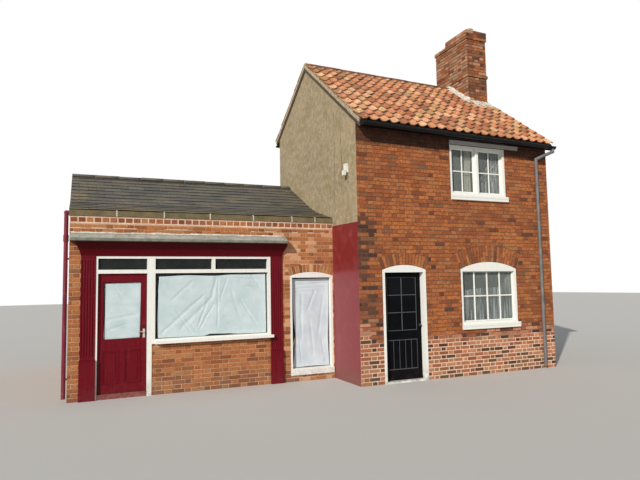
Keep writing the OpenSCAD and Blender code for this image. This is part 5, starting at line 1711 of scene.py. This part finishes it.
# Height of a door's lower panel over the leaf's foot, and its own height
HOUSE_PANEL = 0.183, 0.560
SHOP_PANEL = 0.146, 0.553


def build_house_door():
    (x0, pane, z0), (x1, _, z1) = span("house_door_glass")
    (leaf_x0, face, foot), (leaf_x1, _, _) = span("house_door")

    # Worn glazing beads, paler than the door
    shell = Shell()
    frame_ring(shell, x0, x1, z0, z1, pane - 0.014, 0.013, 0.012, 0.012, 0.014)
    bar_cross(shell, x0 + 0.01, x1 - 0.01, z0 + 0.012, z1 - 0.010, pane - 0.017, 0.016, 0.016, 2, 3)
    shell.piece("house_door_bars", DOOR_BARS, "dark_wood", "house_door_leaf")

    # Five boards in the sunk lower panel, with pale edges
    shell = Shell()
    x0, x1 = x0 + 0.002, x1 - 0.002
    z0, z1 = foot + HOUSE_PANEL[0] + 0.002, foot + sum(HOUSE_PANEL) - 0.002
    boards = 5
    wide, back = (x1 - x0) / boards, face + 0.012
    for i in range(boards):
        a, b = x0 + i * wide + 0.0015, x0 + (i + 1) * wide - 0.0015
        shell.box(a, b, back - 0.006, back + 0.002, z0, z1, 0.004)
        shell.box(b - 0.010, b - 0.001, back - 0.0095, back - 0.004, z0, z1, 0.002, slot=1)
    for a, b in ((z0, z0 + 0.016), (z1 - 0.016, z1)):
        shell.box(x0, x1, face + 0.001, back + 0.001, a, b, 0.004, slot=1)
    shell.piece("house_door_boards", [BLACK_WOOD, DOOR_BARS], "dark_wood", "house_door_leaf")

    shell = Shell()
    shell.box(leaf_x0 + 0.004, leaf_x1 - 0.004, face - 0.022, face + 0.001, foot + 0.006, foot + 0.048, 0.010)
    shell.piece("house_door_weather_bar", BLACK_WOOD, "dark_wood", "house_door_leaf")


# Steps of a panel's moulding: its inset, how far it stands out, its depth, width and bevel
PANEL_STEPS = (0.002, 0.002, 0.011, 0.016, 0.006), (0.018, 0.006, 0.007, 0.010, 0.004)


def build_shop_door():
    """Bolection mouldings round the shop door's panels and beads round its glass."""
    (_, face, foot), _ = span("shop_door")
    (x0, _, glass_low), (x1, _, glass_high) = span("shop_door_glass")
    bar = 0.082
    wide = (x1 - x0 - bar) / 2
    z0, z1 = foot + SHOP_PANEL[0], foot + sum(SHOP_PANEL)
    shell = Shell()
    for a in (x0, x0 + wide + bar):
        b = a + wide
        for inset, out, deep, side, bevel in PANEL_STEPS:
            box = a + inset, b - inset, z0 + inset, z1 - inset
            frame_ring(shell, *box, face + out, deep, side, side, side, bevel)
        shell.box(a + 0.062, b - 0.062, face + 0.006, face + 0.013, z0 + 0.062, z1 - 0.062, 0.006)
    frame_ring(shell, x0, x1, glass_low, glass_high, face + 0.003, 0.015, 0.012, 0.012, 0.012)
    shell.piece("shop_door_mouldings", MAROON_WOOD, "maroon_wood", "shop_door_leaf")


def build_pilaster_trim():
    """Mouldings on the plinths and capitals of the pilasters."""
    shell = Shell()
    for node, top in (("left_pilaster", 0.657), ("right_pilaster", 0.616)):
        (x0, face, _), (x1, _, _) = span(node)
        for inset, y0, y1, z0, z1, bevel in (
            (0.001, face - 0.004, face + 0.02, 0.0, 0.10, 0.006),
            (0.004, face - 0.003, face + 0.02, top - 0.055, top - 0.030, 0.008),
            (0.002, face - 0.005, face + 0.03, top - 0.022, top - 0.002, 0.006),
            (0.014, -0.030, 0.0, top + 0.001, top + 0.022, 0.008),
            (0.014, -0.030, 0.0, FRONT_TOP - 0.026, FRONT_TOP - 0.002, 0.006),
        ):
            shell.box(x0 + inset, x1 - inset, y0, y1, z0, z1, bevel)
    shell.piece("pilaster_mouldings", MAROON_WOOD, "maroon_wood")


# Rain goods

STRAPS = 0.726, 1.513, 2.329, 3.147, 3.925, 4.412
CLIP_R = 0.0595


def build_gutter_trim():
    """Pale straps on the shop's front gutter and clips round the house's gutters."""
    rng = random.Random(61)
    (_, face, _), (_, _, top) = span("shop_gutters")
    shell = Shell()
    for x in STRAPS:
        shell.box(x - 0.009, x + 0.009, face - 0.005, face - 0.0005, top - 0.098, top + 0.004, 0.002)
        shell.box(x - 0.009, x + 0.009, face - 0.005, face + 0.012, top + 0.002, top + 0.007, 0.002)
        x += rng.uniform(-0.01, 0.01)
        shell.box(x - 0.008, x + 0.008, face + 0.008, face + 0.090, top + 0.002, top + 0.010, 0.002)
    shell.piece("shop_gutter_straps", STRAP, "gutter_iron")

    low, high = span("house_gutters")
    shell = Shell()
    angles = [math.radians(a) for a in range(-92, 93, 23)]
    n = len(angles)
    for y, eaves in ((low[1] + 0.057, EAVES_Y[0]), (high[1] - 0.057, EAVES_Y[1])):
        for x in (HOUSE_X + 0.25 + (HOUSE_W - 0.4) * i / 5 for i in range(6)):
            z = house_roof(x, eaves) - 0.075
            points, faces = [], []
            for r in (CLIP_R, CLIP_R * 1.07):
                for wide in (-0.014, 0.014):
                    points += [site(x + wide, y + r * math.sin(a), z - r * math.cos(a)) for a in angles]
            for k in range(n - 1):
                for a, b in ((2 * n, 3 * n), (n, 0), (0, 2 * n), (3 * n, n)):
                    faces.append([a + k, a + k + 1, b + k + 1, b + k])
            shell.add(points, faces, dice(rng))
    shell.piece("house_gutter_clips", BLACK_PLASTIC, "black_plastic")


# The lead cover's lip, and where its slope changes
CORNICE_LIP = FASCIA_TOP + 0.050
CORNICE_BEND = -0.133, FASCIA_TOP + 0.112


def build_cornice_trim():
    """Mortar flashing along the back of the lead cover and the laps of its sheets."""
    rng = random.Random(71)
    low, high = span("cornice_cover")
    shell, path = Shell(), []
    x, z = low[0] + 0.02, CORNICE_TOP
    while x < high[0] - 0.02:
        up = z + 0.020 + 0.014 * noise.noise(Vector((x * 3.1, 5, 1))) + rng.uniform(-0.004, 0.004)
        loop = (-0.024, z - 0.002), (-0.004, up + 0.006), (0.002, up), (0.002, z - 0.03)
        path.append([site(x, py, pz) for py, pz in loop])
        x += 0.045
    rough_strip(shell, path, rng, jitter=0.003)
    shell.piece("cornice_flashing", WHITE_MORTAR, "render")

    shell = Shell()
    front, lip = low[1], CORNICE_LIP
    bends = CORNICE_BEND, (0.0, CORNICE_TOP)
    ring = [(front - 0.003, FASCIA_TOP + 0.004), (front - 0.003, lip + 0.002)]
    ring += [(y, z + 0.0035) for y, z in bends]
    ring += [(y, z - 0.003) for y, z in bends[::-1]]
    ring += [(front + 0.002, lip - 0.003), (front + 0.002, FASCIA_TOP + 0.004)]
    n = len(ring)
    faces = [list(range(n))[::-1], list(range(n, 2 * n))]
    faces += [[i, (i + 1) % n, n + (i + 1) % n, n + i] for i in range(n)]
    for x in (0.62, 1.24, 1.86, 2.50, 3.12):
        x += rng.uniform(-0.03, 0.03)
        shell.add([site(e, y, z) for e in (x, x + 0.030) for y, z in ring], faces, dice(rng))
    shell.piece("cornice_laps", LEAD, "lead")


build_curtains()
build_windows()
build_house_door()
build_shop_door()
build_pilaster_trim()
build_gutter_trim()
build_cornice_trim()


# Nodes that keep their own shape

ASSIGNED = (
    (SHOP_MORTAR, "shop_front_pier shop_stall_riser shop_front_head shop_front_right_wall shop_side_wall"),
    (SHOP_MORTAR, "shop_back_wall shop_inner_side_wall"),
    (HOUSE_MORTAR, "house_front_left_wall house_front_door_head house_front_right_wall house_back_wall"),
    (HOUSE_MORTAR, "party_wall chimney_stack"),
    (RENDER, "gable_wall"),
    (STONE, "shop_floor ground_floor"),
    (WORN_STEP, "shop_threshold"),
    (BOARDS, "upper_floor"),
    (POT_CLAY, "chimney_pots"),
    (TIMBER, "shop_roof_front shop_roof_back"),
    (GUTTER, "shop_gutters"),
    (MAROON_IRON, "shop_downpipe"),
    (BLACK_PLASTIC, "house_gutters"),
    (PIPE_GREY, "house_downpipe"),
    (MAROON_WOOD, "left_pilaster right_pilaster shop_door"),
    (MAROON_DARK, "fascia"),
    (LEAD, "cornice_cover"),
    (WHITE_WOOD, "shopfront_frame shopfront_sill side_window_frame side_window_sill shop_back_window"),
    (WHITE_WOOD, "house_door_frame lower_window_frame upper_window_frame house_back_windows"),
    (BACK_WOOD, "back_door"),
    (BLACK_WOOD, "house_door"),
    (GLASS, "shopfront_glass side_window_glass shop_door_glass"),
    (HOUSE_GLASS, "house_window_glass"),
    (HALL_SHADE_GLASS, "house_door_glass"),
    (STEEL, "shop_door_hinges house_door_hinges"),
    (PALE_STEEL, "shop_door_handle"),
    (DARK_KNOB, "house_door_knob"),
    (PLASTIC, "gable_light"),
)
for material, nodes in ASSIGNED:
    for name in nodes.split():
        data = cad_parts[name].data
        data.materials.clear()
        data.materials.append(material)


# Stage: floor, sun and soft sky

REACH = 60.0
SUN_FROM = Vector((-0.683, -0.573, 0.454))


def add_floor():
    mesh = bpy.data.meshes.new("floor")
    corners = [(x * REACH, y * REACH, 0) for x, y in ((-1, -1), (1, -1), (1, 1), (-1, 1))]
    mesh.from_pydata(corners, [], [(0, 1, 2, 3)])
    p = Paint("pale floor", 0.9)
    p.colour(rgb(194, 192, 188))
    mesh.materials.append(p.material)
    floor = bpy.data.objects.new("floor", mesh)
    bpy.context.scene.collection.objects.link(floor)


def add_sky():
    """A bluish sky for soft light, white where it is seen or mirrored."""
    world = bpy.data.worlds.new("studio")
    bpy.context.scene.world = world
    world.use_nodes = True
    tree = world.node_tree
    tree.nodes.clear()
    new, link = tree.nodes.new, tree.links.new
    out = new("ShaderNodeOutputWorld")
    pick = new("ShaderNodeMixShader")
    for i, colour, strength in ((1, (0.86, 0.93, 1.0, 1), 0.32), (2, (1, 1, 1, 1), 1.0)):
        sky = new("ShaderNodeBackground")
        sky.inputs["Color"].default_value = colour
        sky.inputs["Strength"].default_value = strength
        link(sky.outputs[0], pick.inputs[i])
    path = new("ShaderNodeLightPath")
    seen = path.outputs["Is Camera Ray"]
    for name in ("Is Glossy Ray", "Is Transmission Ray"):
        most = new("ShaderNodeMath")
        most.operation = "MAXIMUM"
        link(seen, most.inputs[0])
        link(path.outputs[name], most.inputs[1])
        seen = most.outputs[0]
    link(seen, pick.inputs[0])
    link(pick.outputs[0], out.inputs[0])


def add_sun():
    lamp = bpy.data.lights.new("sun", "SUN")
    lamp.energy = 3.7
    lamp.angle = math.radians(1)
    lamp.color = (1.0, 0.96, 0.9)
    sun = bpy.data.objects.new("sun", lamp)
    sun.rotation_euler = SUN_FROM.to_track_quat("Z", "Y").to_euler()
    bpy.context.scene.collection.objects.link(sun)


add_floor()
add_sky()
add_sun()
bpy.context.scene.view_settings.view_transform = "Standard"
